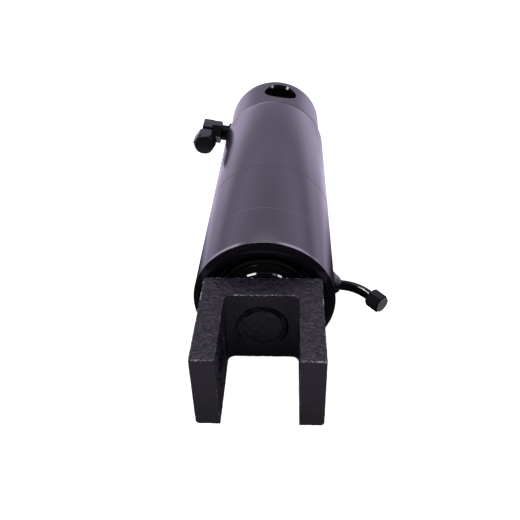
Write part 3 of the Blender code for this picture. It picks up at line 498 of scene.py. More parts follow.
def off_axis(tree, place):
    """The distance from the cylinder's axis."""
    squares = [maths(tree, "POWER", place[side], 2.0) for side in ("X", "Z")]
    return maths(tree, "SQRT", maths(tree, "ADD", *squares))


def make_turning_marks():
    """Fine rings about the cylinder's axis, as a lathe or a hone leaves them."""
    inputs = [("Pitch", 2600.0)]
    tree, entry, leaving = new_group("turning_marks", inputs, ["Height", "Streak"])
    where = object_point(tree)
    place = axes(tree, where)
    joined = tree.nodes.new("ShaderNodeCombineXYZ")
    link(tree, times(tree, place["Y"], 40.0), joined.inputs["X"])
    link(tree, times(tree, off_axis(tree, place), 40.0), joined.inputs["Y"])
    lathe = noise(tree, joined.outputs[0], entry.outputs["Pitch"], 2.0)
    link(tree, lathe, leaving.inputs["Height"])
    link(tree, noise(tree, joined.outputs[0], 60.0, 3.0), leaving.inputs["Streak"])
    return tree


SPRAYED_FILM = make_sprayed_film()
WORN_EDGES = make_worn_edges()
CAST_GRAIN = make_cast_grain()
TURNING_MARKS = make_turning_marks()


def group(tree, shared, **settings):
    made = tree.nodes.new("ShaderNodeGroup")
    made.node_tree = shared
    for key, value in settings.items():
        made.inputs[key.replace("_", " ")].default_value = value
    return made


def new_material(name, roughness, metallic=0.0, specular=0.5):
    material = bpy.data.materials.new(name)
    material.use_nodes = True
    tree = material.node_tree
    shader = tree.nodes["Principled BSDF"]
    shader.inputs["Roughness"].default_value = roughness
    shader.inputs["Metallic"].default_value = metallic
    shader.inputs["Specular IOR Level"].default_value = specular
    return material, tree, shader


def mixed(tree, factor, first, second):
    """A colour between two colours, or between a colour and a socket's."""
    made = tree.nodes.new("ShaderNodeMix")
    made.data_type = "RGBA"
    link(tree, factor, made.inputs["Factor"])
    for socket, value in ((made.inputs[6], first), (made.inputs[7], second)):
        if isinstance(value, tuple):
            socket.default_value = (*value, 1.0)
        else:
            link(tree, value, socket)
    return made.outputs[2]


def stretched(tree, where, scale):
    made = node(tree, "ShaderNodeMapping", Scale=scale)
    link(tree, where, made.inputs["Vector"])
    return made.outputs[0]


def bumped(tree, shader, height, strength, distance):
    made = node(tree, "ShaderNodeBump", Strength=strength, Distance=distance)
    link(tree, height, made.inputs["Height"])
    link(tree, made.outputs[0], shader.inputs["Normal"])


def ring_line(tree, along, station, width):
    """1 on a thin line round the barrel at this station, fading to 0 at its sides."""
    offset = maths(tree, "ABSOLUTE", maths(tree, "ADD", along, station))
    return spread(tree, offset, width, width * 0.3)


def make_barrel_paint():
    """Gloss black with two faint rings, one a painted highlight and one darker, the flush seam at the
    cap with a painted highlight on its left, and a painted highlight along the mouth's rim.
    """
    material, tree, shader = new_material("barrel_gloss_paint", 0.2, 0.0, 1.0)
    film = group(tree, SPRAYED_FILM, Peel_Scale=420.0, Nibs=0.15)
    where = object_point(tree)
    place = axes(tree, where)
    colour = mixed(tree, film.outputs["Cloud"], (0.0085, 0.0066, 0.0125), (0.012, 0.0095, 0.0175))
    # A painted highlight ring, a little raised in the bump, and a darker, rougher ring sunk in the bump
    highlight_ring = ring_line(tree, place["Y"], HIGHLIGHT_RING_STATION, 0.0009)
    dark_line = ring_line(tree, place["Y"], DARK_LINE, 0.0012)
    colour = mixed(tree, times(tree, highlight_ring, 0.5), colour, (0.10, 0.09, 0.12))
    colour = mixed(tree, times(tree, dark_line, 0.7), colour, (0.006, 0.006, 0.008))
    # Painted highlight along the outer edge of the mouth's chamfer, on both flanks, broken into patches
    rim = ring_line(tree, place["Y"], RIM_HIGHLIGHT_STATION, 0.0030)
    rim = times(tree, rim, patches(tree, where, 60.0, 2.0, 0.34, 0.50))
    aside = maths(tree, "ABSOLUTE", place["X"])
    flanks = times(tree, spread(tree, aside, 0.010, 0.018), spread(tree, aside, 0.048, 0.038))
    rim = times(tree, rim, flanks)
    colour = mixed(tree, times(tree, rim, 0.8), colour, (0.42, 0.40, 0.45))
    # The seam at the cap: a painted highlight on its left half, rougher and sunk on its right half
    seam = ring_line(tree, place["Y"], SEAM_LINE, 0.0024)
    seam_left_highlight = times(tree, seam, spread(tree, place["X"], 0.010, -0.012))
    seam_right = times(tree, seam, spread(tree, place["X"], -0.004, 0.012))
    colour = mixed(tree, times(tree, seam_left_highlight, 0.8), colour, (0.26, 0.24, 0.29))
    link(tree, colour, shader.inputs["Base Color"])
    dull = maths(tree, "MAXIMUM", times(tree, dark_line, 0.7), seam_right)
    rough = spread(tree, film.outputs["Cloud"], 0.3, 0.7, 0.18, 0.24)
    link(tree, maths(tree, "MAXIMUM", rough, dull), shader.inputs["Roughness"])
    height = maths(tree, "SUBTRACT", film.outputs["Height"], times(tree, dark_line, 4.0))
    height = maths(tree, "SUBTRACT", height, times(tree, seam_right, 6.0))
    height = maths(tree, "ADD", height, times(tree, highlight_ring, 0.8))
    bumped(tree, shader, height, 0.10, 0.00012)
    return material


def nose_shadow_and_smudges(tree, where, place):
    """The shadowed arc over the weld round the rod's nose, and a few smudges on the nose."""
    height = place["Z"]
    radius = off_axis(tree, place)
    wobble = times(tree, noise(tree, where, 110.0, 2.0), 0.006)
    wavy = maths(tree, "ADD", radius, wobble)
    off = maths(tree, "ABSOLUTE", maths(tree, "SUBTRACT", wavy, WELD_GROOVE + 0.0014))
    leaning = maths(tree, "ADD", height, times(tree, place["X"], 0.45))
    arc = times(tree, spread(tree, off, 0.0026, 0.0010), spread(tree, leaning, -0.006, 0.004))
    broken = patches(tree, where, 75.0, 2.0, 0.36, 0.58, 0.40, 0.95)
    arc = times(tree, arc, broken)
    smudge = patches(tree, where, 110.0, 3.0, 0.67, 0.73)
    smudge = times(tree, smudge, spread(tree, radius, 0.021, 0.015))
    return maths(tree, "MAXIMUM", arc, smudge)


def make_cast_paint():
    """Black over a casting's skin, with painted shade in its pits, worn edges and painted glints along
    the front top edges, a smoother slot painted lighter near the top and darker below, front faces
    painted lighter, and the nose's painted shadow and smudges.
    """
    material, tree, shader = new_material("fork_cast_paint", 0.24, 0.0, 0.20)
    grain = group(tree, CAST_GRAIN, Lump_Scale=330.0, Pit_Depth=0.5)
    film = group(tree, SPRAYED_FILM, Peel_Scale=900.0, Nibs=0.6)
    where = object_point(tree)
    near = node(tree, "ShaderNodeAttribute", attribute_name="edge_wear").outputs["Fac"]
    chips = patches(tree, where, 850.0, 2.0, 0.53, 0.61)
    areas = patches(tree, where, 90.0, 2.0, 0.44, 0.56)
    wear = times(tree, spread(tree, near, 0.45, 0.80), times(tree, chips, areas))
    place = axes(tree, where)
    aside = maths(tree, "ABSOLUTE", place["X"])
    inner_edge = spread(tree, aside, SLOT_WALL + 0.007, SLOT_WALL + 0.004)
    past_slot = spread(tree, place["Y"], -FORK_SLOT - 0.0024, -FORK_SLOT - 0.0054)
    inner_edge = times(tree, inner_edge, past_slot)
    lower_edge = spread(tree, place["Z"], FORK_TOP - 0.0015, FORK_TOP - 0.0045)
    spared = maths(tree, "MAXIMUM", inner_edge, lower_edge)
    wear = times(tree, wear, spread(tree, spared, 0.0, 1.0, 1.0, 0.25))
    front = spread(tree, place["Y"], 0.0019 - FORK_FRONT, 0.0006 - FORK_FRONT)
    flecks = patches(tree, where, 420.0, 2.0, 0.53, 0.62, 0.0, 0.55)
    # Painted glints: light flecks along the ears' front top edges, joined to the wear mask below
    edge_glint_flecks = times(tree, spread(tree, near, 0.30, 0.60), flecks)
    high = spread(tree, place["Z"], FORK_TOP - 0.0013, FORK_TOP - 0.0005)
    front_edge_glint = times(tree, high, spread(tree, place["Y"], 0.0015 - FORK_FRONT, 0.0009 - FORK_FRONT))
    wear = maths(tree, "MAXIMUM", wear, times(tree, edge_glint_flecks, front_edge_glint))
    # Inside the slot below its top, and on the front faces, the colour is replaced by painted light and
    # shade
    between = spread(tree, aside, SLOT_WALL + 0.0005, SLOT_WALL - 0.0005)
    below = spread(tree, place["Z"], FORK_TOP - 0.0007, FORK_TOP - 0.0020)
    slot_and_front_shading = maths(tree, "MAXIMUM", times(tree, between, below), front)
    colour = mixed(tree, film.outputs["Cloud"], (0.023, 0.019, 0.029), (0.036, 0.030, 0.044))
    # Painted shade: the pits of the grain darker
    colour = mixed(tree, grain.outputs["Hollow"], colour, (0.006, 0.005, 0.008))
    # Painted light and shade in the slot: lighter near the top, darker towards the bottom
    low = spread(tree, place["Z"], 0.010, -0.030)
    inner = mixed(tree, low, (0.050, 0.047, 0.054), (0.011, 0.010, 0.013))
    # The front faces painted lighter, as painted light
    inner = mixed(tree, front, inner, (0.041, 0.037, 0.045))
    # The painted shadow in an arc over the nose's weld, and smudges, both near black
    weld = nose_shadow_and_smudges(tree, where, place)
    inner = mixed(tree, weld, inner, (0.002, 0.002, 0.003))
    colour = mixed(tree, slot_and_front_shading, colour, inner)
    # Light grey where the paint is worn, and as painted glints along the front top edges
    colour = mixed(tree, wear, colour, (0.62, 0.61, 0.64))
    link(tree, colour, shader.inputs["Base Color"])
    link(tree, spread(tree, grain.outputs["Hollow"], 0.0, 1.0, 0.20, 0.34), shader.inputs["Roughness"])
    outside = spread(tree, aside, SLOT_WALL + 0.001, SLOT_WALL + 0.008, 0.10, 1.0)
    lumpy = maths(tree, "MINIMUM", outside, spread(tree, front, 0.0, 1.0, 1.0, 0.35))
    height = times(tree, grain.outputs["Height"], lumpy)
    streaks = noise(tree, stretched(tree, where, (700.0, 700.0, 60.0)), 1.0, 3.0)
    inside = times(tree, streaks, times(tree, between, below))
    bumped(tree, shader, maths(tree, "ADD", height, inside), 0.8, 0.0008)
    return material


def vary_roughness(tree, shader, mask, low, high):
    link(tree, spread(tree, mask, 0.3, 0.7, low, high), shader.inputs["Roughness"])


def make_head_paint(name, colour, dark, roughness, specular, ior=1.5, relief=0.12):
    """Thick gloss black on the turned parts and the fittings at the rod end."""
    material, tree, shader = new_material(name, roughness, 0.0, specular)
    shader.inputs["IOR"].default_value = ior
    film = group(tree, SPRAYED_FILM, Peel_Scale=500.0, Nibs=0.3)
    link(tree, mixed(tree, film.outputs["Cloud"], dark, colour), shader.inputs["Base Color"])
    vary_roughness(tree, shader, film.outputs["Cloud"], roughness * 0.85, roughness * 1.25)
    bumped(tree, shader, film.outputs["Height"], relief, 0.0001)
    return material


def make_fitting_paint():
    """Dull black on the forged fittings, worn on their corners, with painted shade in the pits of the
    grain.
    """
    material, tree, shader = new_material("fitting_black_oxide", 0.35, 0.0, 0.5)
    wear = group(tree, WORN_EDGES, Sharpness=0.60, Grain_Scale=900.0)
    grain = group(tree, CAST_GRAIN, Lump_Scale=900.0, Pit_Depth=0.3)
    # Painted shade: darker in the pits of the grain
    colour = mixed(tree, grain.outputs["Hollow"], (0.0085, 0.008, 0.0105), (0.0045, 0.0045, 0.006))
    colour = mixed(tree, wear.outputs["Wear"], colour, (0.24, 0.24, 0.26))
    link(tree, colour, shader.inputs["Base Color"])
    link(tree, spread(tree, wear.outputs["Wear"], 0.0, 1.0, 0.34, 0.25), shader.inputs["Roughness"])
    bumped(tree, shader, grain.outputs["Height"], 0.18, 0.00015)
    return material


def make_metal(name, dark, light, roughness, strength):
    """Bare metal with turning marks."""
    material, tree, shader = new_material(name, roughness, 1.0)
    marks = group(tree, TURNING_MARKS, Pitch=60.0)
    link(tree, mixed(tree, marks.outputs["Streak"], dark, light), shader.inputs["Base Color"])
    vary_roughness(tree, shader, marks.outputs["Streak"], roughness * 0.8, roughness * 1.3)
    bumped(tree, shader, marks.outputs["Height"], strength, 0.00005)
    return material


def make_soft(name, dark, light, roughness):
    """Rubber or moulded plastic with a faint bloom."""
    material, tree, shader = new_material(name, roughness, 0.0, 0.4)
    film = group(tree, SPRAYED_FILM, Peel_Scale=1400.0, Nibs=0.4)
    link(tree, mixed(tree, film.outputs["Cloud"], dark, light), shader.inputs["Base Color"])
    vary_roughness(tree, shader, film.outputs["Cloud"], roughness * 0.85, roughness * 1.15)
    bumped(tree, shader, film.outputs["Height"], 0.15, 0.00008)
    return material


# The stage, the camera and the lights


WHITE = (1.0, 1.0, 1.0)
ROOM_LIGHT = (1.0, 0.94, 1.08)
MIRRORED_LIGHT = (1.07, 0.94, 1.31)


def make_camera():
    data = bpy.data.cameras.new("camera")
    data.sensor_width = 36.0
    data.lens = 42.01
    data.clip_start = 0.05
    camera = bpy.data.objects.new("camera", data)
    bpy.context.scene.collection.objects.link(camera)
    right = (0.99865, 0.04503, -0.02590)
    up = (-0.00512, 0.58155, 0.81350)
    back = (0.0517, -0.8123, 0.5810)
    turn = Matrix((right, up, back)).transposed().to_4x4()
    camera.matrix_world = Matrix.Translation((0.0227, -0.7748, 0.3260)) @ turn
    bpy.context.scene.camera = camera


def seen_rays(tree):
    """Masks of two kinds of rays: the camera's, and the reflected and transmitted ones."""
    path = tree.nodes.new("ShaderNodeLightPath")
    mirrored = maths(tree, "ADD", path.outputs["Is Glossy Ray"], path.outputs["Is Transmission Ray"])
    return path.outputs["Is Camera Ray"], mirrored


def blended(tree, factor, first, second):
    """A number between two sockets' numbers."""
    made = tree.nodes.new("ShaderNodeMix")
    for socket, value in zip(made.inputs[:1] + made.inputs[2:4], (factor, first, second)):
        if isinstance(value, (int, float)):
            socket.default_value = value
        else:
            link(tree, value, socket)
    return made.outputs[0]


def make_world():
    """White to the camera. Reflections see a bright horizon, darker above it, and nothing in front."""
    world = bpy.data.worlds.new("studio")
    bpy.context.scene.world = world
    world.use_nodes = True
    tree = world.node_tree
    sky = tree.nodes["Background"]
    where = tree.nodes.new("ShaderNodeTexCoord").outputs["Generated"]
    place = axes(tree, where)
    behind = spread(tree, place["Y"], -0.25, 0.55)
    lit = spread(tree, behind, 0.0, 1.0, 0.30, 0.60)
    camera_ray, mirrored = seen_rays(tree)
    horizon = spread(tree, place["Z"], -0.11, 0.19, 0.81, 0.35)
    overhead = spread(tree, place["Z"], 0.26, 0.42, 0.35, 0.60)
    overhead = maths(tree, "MAXIMUM", horizon, overhead)
    aside = maths(tree, "ABSOLUTE", place["X"])
    overhead = times(tree, overhead, spread(tree, aside, 0.12, 0.62, 1.0, 1.6))
    reflected = spread(tree, behind, 0.0, 1.0, 0.06, 1.0)
    level = blended(tree, mirrored, lit, times(tree, reflected, overhead))
    link(tree, blended(tree, camera_ray, level, 1.0), sky.inputs["Strength"])
    tint = mixed(tree, mirrored, ROOM_LIGHT, MIRRORED_LIGHT)
    link(tree, mixed(tree, camera_ray, tint, WHITE), sky.inputs["Color"])


def make_floor():
    """Paper that shows the camera a faint shadow. In reflections it glows instead, bright behind and far
    ahead of the part and near black under the rod end and just in front of it, a painted shade of the
    part on the floor.
    """
    deselect()
    bpy.ops.mesh.primitive_plane_add(size=12.0, location=(0, 0, FLOOR_HEIGHT))
    floor = named("floor")
    material = bpy.data.materials.new("floor_white")
    material.use_nodes = True
    tree = material.node_tree
    tree.nodes.clear()
    out = tree.nodes.new("ShaderNodeOutputMaterial")
    paper = tree.nodes.new("ShaderNodeBsdfDiffuse")
    glow = tree.nodes.new("ShaderNodeEmission")
    where = object_point(tree)
    place = axes(tree, where)
    # Painted shade in reflections: the floor near black under the rod end and just in front of it
    behind = spread(tree, place["Y"], -0.22, -0.06, 0.03, 1.1)
    further = spread(tree, place["Y"], -0.08, 0.10, 1.1, 0.82)
    behind = maths(tree, "MINIMUM", behind, further)
    ahead = spread(tree, place["Y"], -0.51, -0.56, 0.03, 0.36)
    camera_ray, mirrored = seen_rays(tree)
    link(tree, mixed(tree, mirrored, (0.8, 0.8, 0.8), (0.0, 0.0, 0.0)), paper.inputs["Color"])
    shown = times(tree, maths(tree, "MAXIMUM", behind, ahead), mirrored)
    link(tree, blended(tree, camera_ray, shown, 0.95), glow.inputs["Strength"])
    link(tree, mixed(tree, camera_ray, MIRRORED_LIGHT, WHITE), glow.inputs["Color"])
    both = tree.nodes.new("ShaderNodeAddShader")
    link(tree, paper.outputs[0], both.inputs[0])
    link(tree, glow.outputs[0], both.inputs[1])
    link(tree, both.outputs[0], out.inputs["Surface"])
    floor.data.materials.append(material)


def make_lamp(name, place, target, size, power):
    """A rectangular lamp aimed at a target, or straight down where there is none."""
    data = bpy.data.lights.new(name, "AREA")
    data.shape = "RECTANGLE"
    data.size, data.size_y = size
    data.energy = power
    lamp = bpy.data.objects.new(name, data)
    bpy.context.scene.collection.objects.link(lamp)
    lamp.matrix_world = Matrix.Translation(place)
    if target:
        aim = Vector(target) - Vector(place)
        lamp.matrix_world @= aim.to_track_quat("-Z", "Y").to_matrix().to_4x4()
    return lamp


# The pieces


def make_barrel(paint, mouth_shade_paint):
    """The tube, with its bevelled mouth, the ring's groove and the seam bevel at the cap."""
    across, along = MOUTH_CHAMFER
    profile = [
        (BORE_RADIUS + BORE_LEAD_IN, MOUTH),
        (BARREL_RADIUS - across, MOUTH),
        (BARREL_RADIUS, MOUTH - along),
        (BARREL_RADIUS, SEAM + SEAM_CHAMFER),
        (BARREL_RADIUS - SEAM_CHAMFER, SEAM),
        (BORE_RADIUS, SEAM),
        (BORE_RADIUS, RING_BACK - GAP),
        (GROOVE_RADIUS, RING_BACK - GAP),
        (GROOVE_RADIUS, RING_FRONT + GAP),
        (BORE_RADIUS, RING_FRONT + GAP),
        (BORE_RADIUS, MOUTH - BORE_LEAD_IN),
    ]
    barrel = turned("barrel", profile, 192)
    round_rings(barrel, profile[1:3], 0.0003, 2)
    round_rings(barrel, [profile[0], profile[10]], 0.0003, 2)
    round_rings(barrel, profile[3:5], 0.0005, 2)
    hole = [(TUBE_HOLE, 0.040), (TUBE_HOLE, 0.070)]
    drill = turned("port_drill", hole, 48, True, ROD_PORT)
    settle(barrel, MAIN_AXIS)
    carve(barrel, drill)
    shade(barrel)
    coat(barrel, paint, mouth_shade_paint)

    # The mouth's chamfer and the bore inside it take the darker, less reflective copy of the paint, as
    # painted shade
    def in_mouth(face):
        middle = face.calc_center_median()
        inside = math.hypot(middle.x, middle.z) < GROOVE_RADIUS + 0.0001
        return inside or -middle.y > MOUTH - along + 0.0002

    return paint_faces(barrel, 1, in_mouth)


def make_cap(paint, hole_paint, shadow_paint):
    """The solid base with its flared cross hole for the mounting pin. The hole's flare and bore take
    darker, less reflective copies of the paint, as painted shade.
    """
    profile = [
        (SPIGOT_RADIUS - 0.0015, SPIGOT_FACE),
        (SPIGOT_RADIUS, SPIGOT_FACE - 0.0015),
        (SPIGOT_RADIUS, CAP_LENGTH),
        (CAP_RADIUS, CAP_LENGTH),
        (CAP_RADIUS, CAP_RIM),
        (CAP_RADIUS - CAP_RIM, 0.0),
    ]
    cap = turned("cap", profile, 192, True)
    round_rings(cap, profile[4:6], 0.0008)
    round_rings(cap, profile[3:4], 0.0004, 2)
    settle(cap, BARREL_TURN @ MAIN_AXIS)
    reach = 0.070
    wide = PIN_RADIUS + PIN_FLARE * (reach - PIN_SINK)
    pin_place = BARREL_TURN @ frame_at(TO_FORK * PIN_STATION, UP, RIGHT)
    hole = [(wide, -reach), (PIN_RADIUS, -PIN_SINK), (PIN_RADIUS, PIN_SINK), (wide, reach)]
    carve(cap, turned("pin_drill", hole, 128, True, pin_place))
    socket = [(NIPPLE_RADIUS + GAP, 0.052), (NIPPLE_RADIUS + GAP, 0.070)]
    carve(cap, turned("socket_drill", socket, 64, True, REAR_PORT))
    drilling = [(OIL_BORE, 0.034), (OIL_BORE, 0.056)]
    carve(cap, turned("oil_drill", drilling, 48, True, REAR_PORT))
    shade(cap)
    round_normals(cap, CAP_RADIUS)
    coat(cap, paint, hole_paint, shadow_paint)
    into_hole = pin_place.inverted()
    near = 0.0001

    def in_hole(spot):
        flared = PIN_FLARE * max(abs(spot.z) - PIN_SINK, 0.0)
        return math.hypot(spot.x, spot.y) < PIN_RADIUS + flared + near

    # The flare's faces take the darker copy and the bore's faces the darkest, as painted shade
    for face in cap.data.polygons:
        spots = [into_hole @ cap.data.vertices[index].co for index in face.vertices]
        if all(in_hole(spot) for spot in spots):
            flaring = any(abs(spot.z) > PIN_SINK + near for spot in spots)
            face.material_index = 1 if flaring else 2
    return cap


def make_gland(paint):
    """The head bush: front land, O-ring groove, neck, and the seats of its seals."""
    outer = BORE_RADIUS - GAP
    profile = [
        (WIPER_SEAT, GLAND_FACE),
        (GLAND_HUB - 0.003, GLAND_FACE),
        (GLAND_HUB, GLAND_FACE - 0.003),
        (GLAND_HUB, GLAND_SHELF),
        (outer - 0.001, GLAND_SHELF),
        (outer, GLAND_SHELF - 0.001),
        (outer, 0.3642),
        (outer - 0.0045, 0.3642),
        (outer - 0.0045, 0.3559),
        (outer, 0.3559),
        (outer, 0.3510),
        (outer - 0.006, 0.3480),
        (outer - 0.006, GLAND_BACK),
        (ROD_HOLE, GLAND_BACK),
        (ROD_HOLE, 0.3287),
        (BUSH_SEAT, 0.3287),
        (BUSH_SEAT, 0.3527),
        (ROD_HOLE, 0.3527),
        (ROD_HOLE, 0.3557),
        (SEAL_SEAT, 0.3557),
        (SEAL_SEAT, 0.3657),
        (ROD_HOLE, 0.3657),
        (ROD_HOLE, 0.3687),
        (WIPER_SEAT, 0.3687),
    ]
    gland = turned("gland", profile, 144)
    round_rings(gland, profile[0:3], 0.0001, 2)
    settle(gland, MAIN_AXIS)
    shade(gland)
    return coat(gland, paint)


def make_circlip(paint):
    """The inward-springing ring, cut open at its mouth, with a pierced lug at each end."""
    half = (RING_FRONT - RING_BACK) / 2
    proud = half + 2e-5
    profile = [(RING_OUTER, half), (RING_OUTER, -half), (RING_INNER, -half), (RING_INNER, half)]
    clip = turned("circlip", profile, 192)
    deselect()
    bpy.ops.mesh.primitive_cube_add(size=1.0)
    mouth = named("mouth_cutter")
    mouth.scale = (0.04, 2 * RING_OUTER * math.sin(RING_MOUTH_HALF), 0.02)
    mouth.rotation_euler = (0, 0, RING_MOUTH)
    mouth.location = (math.cos(RING_MOUTH) * RING_OUTER, math.sin(RING_MOUTH) * RING_OUTER, 0)
    carve(clip, settle(mouth, mouth.matrix_world.copy()))
    turn = RING_MOUTH_HALF + (LUG_RADIUS + 0.0003) / LUG_PITCH
    for angle in (RING_MOUTH + turn, RING_MOUTH - turn):
        centre = Vector((math.cos(angle), math.sin(angle), 0)) * LUG_PITCH
        place = Matrix.Translation(centre)
        lug = [(LUG_RADIUS, -proud), (LUG_RADIUS, proud)]
        hole = [(LUG_HOLE, -3 * half), (LUG_HOLE, 3 * half)]
        carve(clip, turned("lug", lug, 48, True, place), "UNION")
        carve(clip, turned("lug_hole", hole, 32, True, place))
    soften(clip, 0.0003, 2, 50.0)
    settle(clip, frame_at(TO_FORK * (RING_FRONT + RING_BACK) / 2, TO_FORK, RIGHT))
    shade(clip)
    return coat(clip, paint)


def make_wiper(paint):
    """The scraper in the gland's mouth, with its lip round the rod."""
    profile = [
        (0.0304, 0.3812),
        (0.0316, 0.3802),
        (0.0325, 0.3755),
        (0.0359, 0.3755),
        (0.0359, 0.3690),
        (0.0303, 0.3690),
    ]
    wiper = turned("wiper", profile, 128)
    round_rings(wiper, profile[3:4], 0.0002, 2)
    settle(wiper, MAIN_AXIS)
    shade(wiper)
    return coat(wiper, paint)


def make_rod(chrome, paint):
    """The chromed rod with its threaded tail, and the painted nose that ends in the fork."""
    profile = [
        (0.0195, 0.0925),
        (0.0210, 0.0940),
        (0.0210, 0.1148),
        (0.0220, 0.1148),
        (0.0220, 0.1611),
        (ROD_RADIUS, 0.1611),
        (ROD_RADIUS, FORK_BACK - 0.0018),
        (ROD_RADIUS - 0.0015, FORK_BACK - 0.0003),
        (NOSE_RADIUS, FORK_BACK - 0.0003),
    ]
    nose_rings = [(NOSE_RADIUS - inset * 0.0008, FORK_SLOT - 0.0006) for inset in range(19)]
    rod = turned("rod", profile + nose_rings, 160, True)
    round_rings(rod, profile[6:8], 0.0004, 2)
    settle(rod, MAIN_AXIS)
    nose = rod.vertex_groups.new(name="nose")
    nose.add([v.index for v in rod.data.vertices if v.co.y < -FORK_SLOT + 0.002], 1.0, "REPLACE")
    roughen(rod, 0.0055, 0.0020, "nose")
    shade(rod)
    coat(rod, chrome, paint)
    return paint_faces(rod, 1, lambda face: -face.calc_center_median().y > FORK_BACK)


def block(name, low, high):
    """A box between two corners, with its place in its mesh."""
    deselect()
    bpy.ops.mesh.primitive_cube_add(size=1.0)
    made = named(name)
    made.scale = [b - a for a, b in zip(low, high)]
    made.location = [(a + b) / 2 for a, b in zip(low, high)]
    bpy.context.view_layer.update()
    return settle(made, made.matrix_world.copy())


def round_edges(obj, test, width, segments):
    edit(obj, "EDGE")
    pick(obj, "edges", test)
    bpy.ops.mesh.bevel(offset=width, segments=segments, affect="EDGES")
    leave()


def upright(edge):
    first, last = (v.co for v in edge.verts)
    return abs(first.z - last.z) > 0.03


def roughen(obj, size, height, area=""):
    """Moves the skin in and out, as sand or a weld pool leaves it. The area is a vertex group."""
    texture = bpy.data.textures.new(obj.name + "_unevenness", "CLOUDS")
    texture.noise_scale = size
    texture.noise_depth = 2
    settings = {"texture": texture, "texture_coords": "LOCAL", "vertex_group": area}
    apply_modifier(obj, "DISPLACE", strength=height, **settings)


def along_edges(obj, angle):
    """Points every half millimetre along the edges that are sharper than the angle."""
    shape = bmesh.new()
    shape.from_mesh(obj.data)
    points = []
    for edge in shape.edges:
        if edge.calc_face_angle(0) > math.radians(angle):
            first, last = (v.co.copy() for v in edge.verts)
            steps = max(1, round((last - first).length / 0.0005))
            points += [first.lerp(last, step / steps) for step in range(steps + 1)]
    shape.free()
    return points


def mark_edges(obj, points, reach):
    """Stores in edge_wear how near each vertex lies to those points: 1 on them, 0 beyond the reach."""
    tree = KDTree(len(points))
    for index, point in enumerate(points):
        tree.insert(point, index)
    tree.balance()
    nearness = [max(0.0, 1 - tree.find(v.co)[2] / reach) for v in obj.data.vertices]
    obj.data.attributes.new("edge_wear", "FLOAT", "POINT").data.foreach_set("value", nearness)


def make_fork(paint):
    """The cast fork: a block with its slot, the pin's cross hole and the socket of the rod's nose."""
    half = FORK_WIDTH / 2
    fork = block("fork", (-half, -FORK_FRONT, -FORK_TOP), (half, -FORK_BACK, FORK_TOP))
    round_edges(fork, lambda edge: upright(edge) and edge.verts[0].co.y > -FORK_SLOT, 0.003, 4)

    def sole(edge):
        first, last = (v.co for v in edge.verts)
        return abs(first.y - last.y) > 0.05 and first.z < 0 and abs(first.x) > SLOT_WALL

    round_edges(fork, sole, 0.003, 4)
    low = (-SLOT_WALL, -FORK_FRONT - 0.02, -0.05)
    slot = block("slot_cutter", low, (SLOT_WALL, -FORK_SLOT, 0.05))
    round_edges(slot, lambda edge: upright(edge) and edge.verts[0].co.y > -0.42, FORK_FILLET, 8)
    carve(fork, slot)
    corners = along_edges(fork, 60.0)
    soften(fork, 0.0009, 3, 40.0)

    pin_place = frame_at(TO_FORK * FORK_PIN, RIGHT, UP)
    pin = [(PIN_RADIUS, -0.07), (PIN_RADIUS, 0.07)]
    carve(fork, turned("fork_pin_drill", pin, 128, True, pin_place))
    socket = [
        (NOSE_RADIUS + GAP, FORK_BACK - 0.01),
        (NOSE_RADIUS + GAP, WELD_FLOOR),
        (WELD_GROOVE, WELD_FLOOR),
        (WELD_GROOVE, FORK_SLOT + 0.01),
    ]
    corners += along_edges(fork, 60.0)
    carve(fork, turned("nose_socket_drill", socket, 96, True, MAIN_AXIS))
    only(fork)
    fork.data.remesh_voxel_size = 0.0008
    bpy.ops.object.voxel_remesh()
    apply_modifier(fork, "SMOOTH", factor=0.5, iterations=1)
    mark_edges(fork, corners, 0.0022)
    roughen(fork, 0.0050, 0.00045)
    shade(fork, 60.0)
    return coat(fork, paint)


def make_nose_bead(paint):
    """The uneven bead between nose and fork: fat below, thin where the groove shows above."""
    radius = (NOSE_RADIUS + WELD_GROOVE) / 2
    deselect()
    sizes = {"major_radius": radius, "minor_radius": 0.0027}
    bpy.ops.mesh.primitive_torus_add(major_segments=260, minor_segments=24, **sizes)
    bead = named("nose_bead")

    def swollen(spot):
        turn = math.atan2(spot.y, spot.x)
        ring = Vector((math.cos(turn) * radius, math.sin(turn) * radius, 0))
        fullness = 0.78 - 0.46 * math.sin(turn + 0.7) + 0.16 * math.sin(5 * turn)
        return ring + (spot - ring) * fullness

    reshape(bead, swollen)
    settle(bead, MAIN_AXIS @ Matrix.Translation((0, 0, WELD_FLOOR + 0.0016)))
    roughen(bead, 0.0040, 0.0026)
    shade(bead, 60.0)
    return coat(bead, paint)


def make_nipple(paint):
    profile = [
        (0.0061, NIPPLE_FACE),
        (0.0077, NIPPLE_FACE),
        (0.0087, NIPPLE_FACE - 0.001),
        (0.0087, NIPPLE_SHOULDER),
        (NIPPLE_RADIUS, NIPPLE_SHOULDER),
        (NIPPLE_RADIUS, NIPPLE_BOTTOM),
        (OIL_BORE, NIPPLE_BOTTOM),
        (OIL_BORE, NIPPLE_FACE - 0.0016),
        (0.0061, NIPPLE_FACE - 0.0016),
    ]
    nipple = turned("nipple", profile, 96)
    round_rings(nipple, profile[4:5], 0.0006)
    settle(nipple, REAR_PORT)
    shade(nipple)
    return coat(nipple, paint)


def make_nipple_bead(paint):
    """The fillet weld round the foot of the nipple, laid on the cap's curve."""
    deselect()
    sizes = {"major_radius": NIPPLE_RADIUS + 0.0012, "minor_radius": 0.0020}
    bpy.ops.mesh.primitive_torus_add(major_segments=160, minor_segments=16, **sizes)
    bead = named("nipple_bead")

    def on_curve(spot):
        rise = math.sqrt(max(CAP_RADIUS**2 - spot.y**2, 0.0)) + 0.0002
        return spot + Vector((0, 0, rise))

    reshape(bead, on_curve)
    settle(bead, REAR_PORT)
    roughen(bead, 0.0022, 0.0008)
    shade(bead, 60.0)
    return coat(bead, paint)


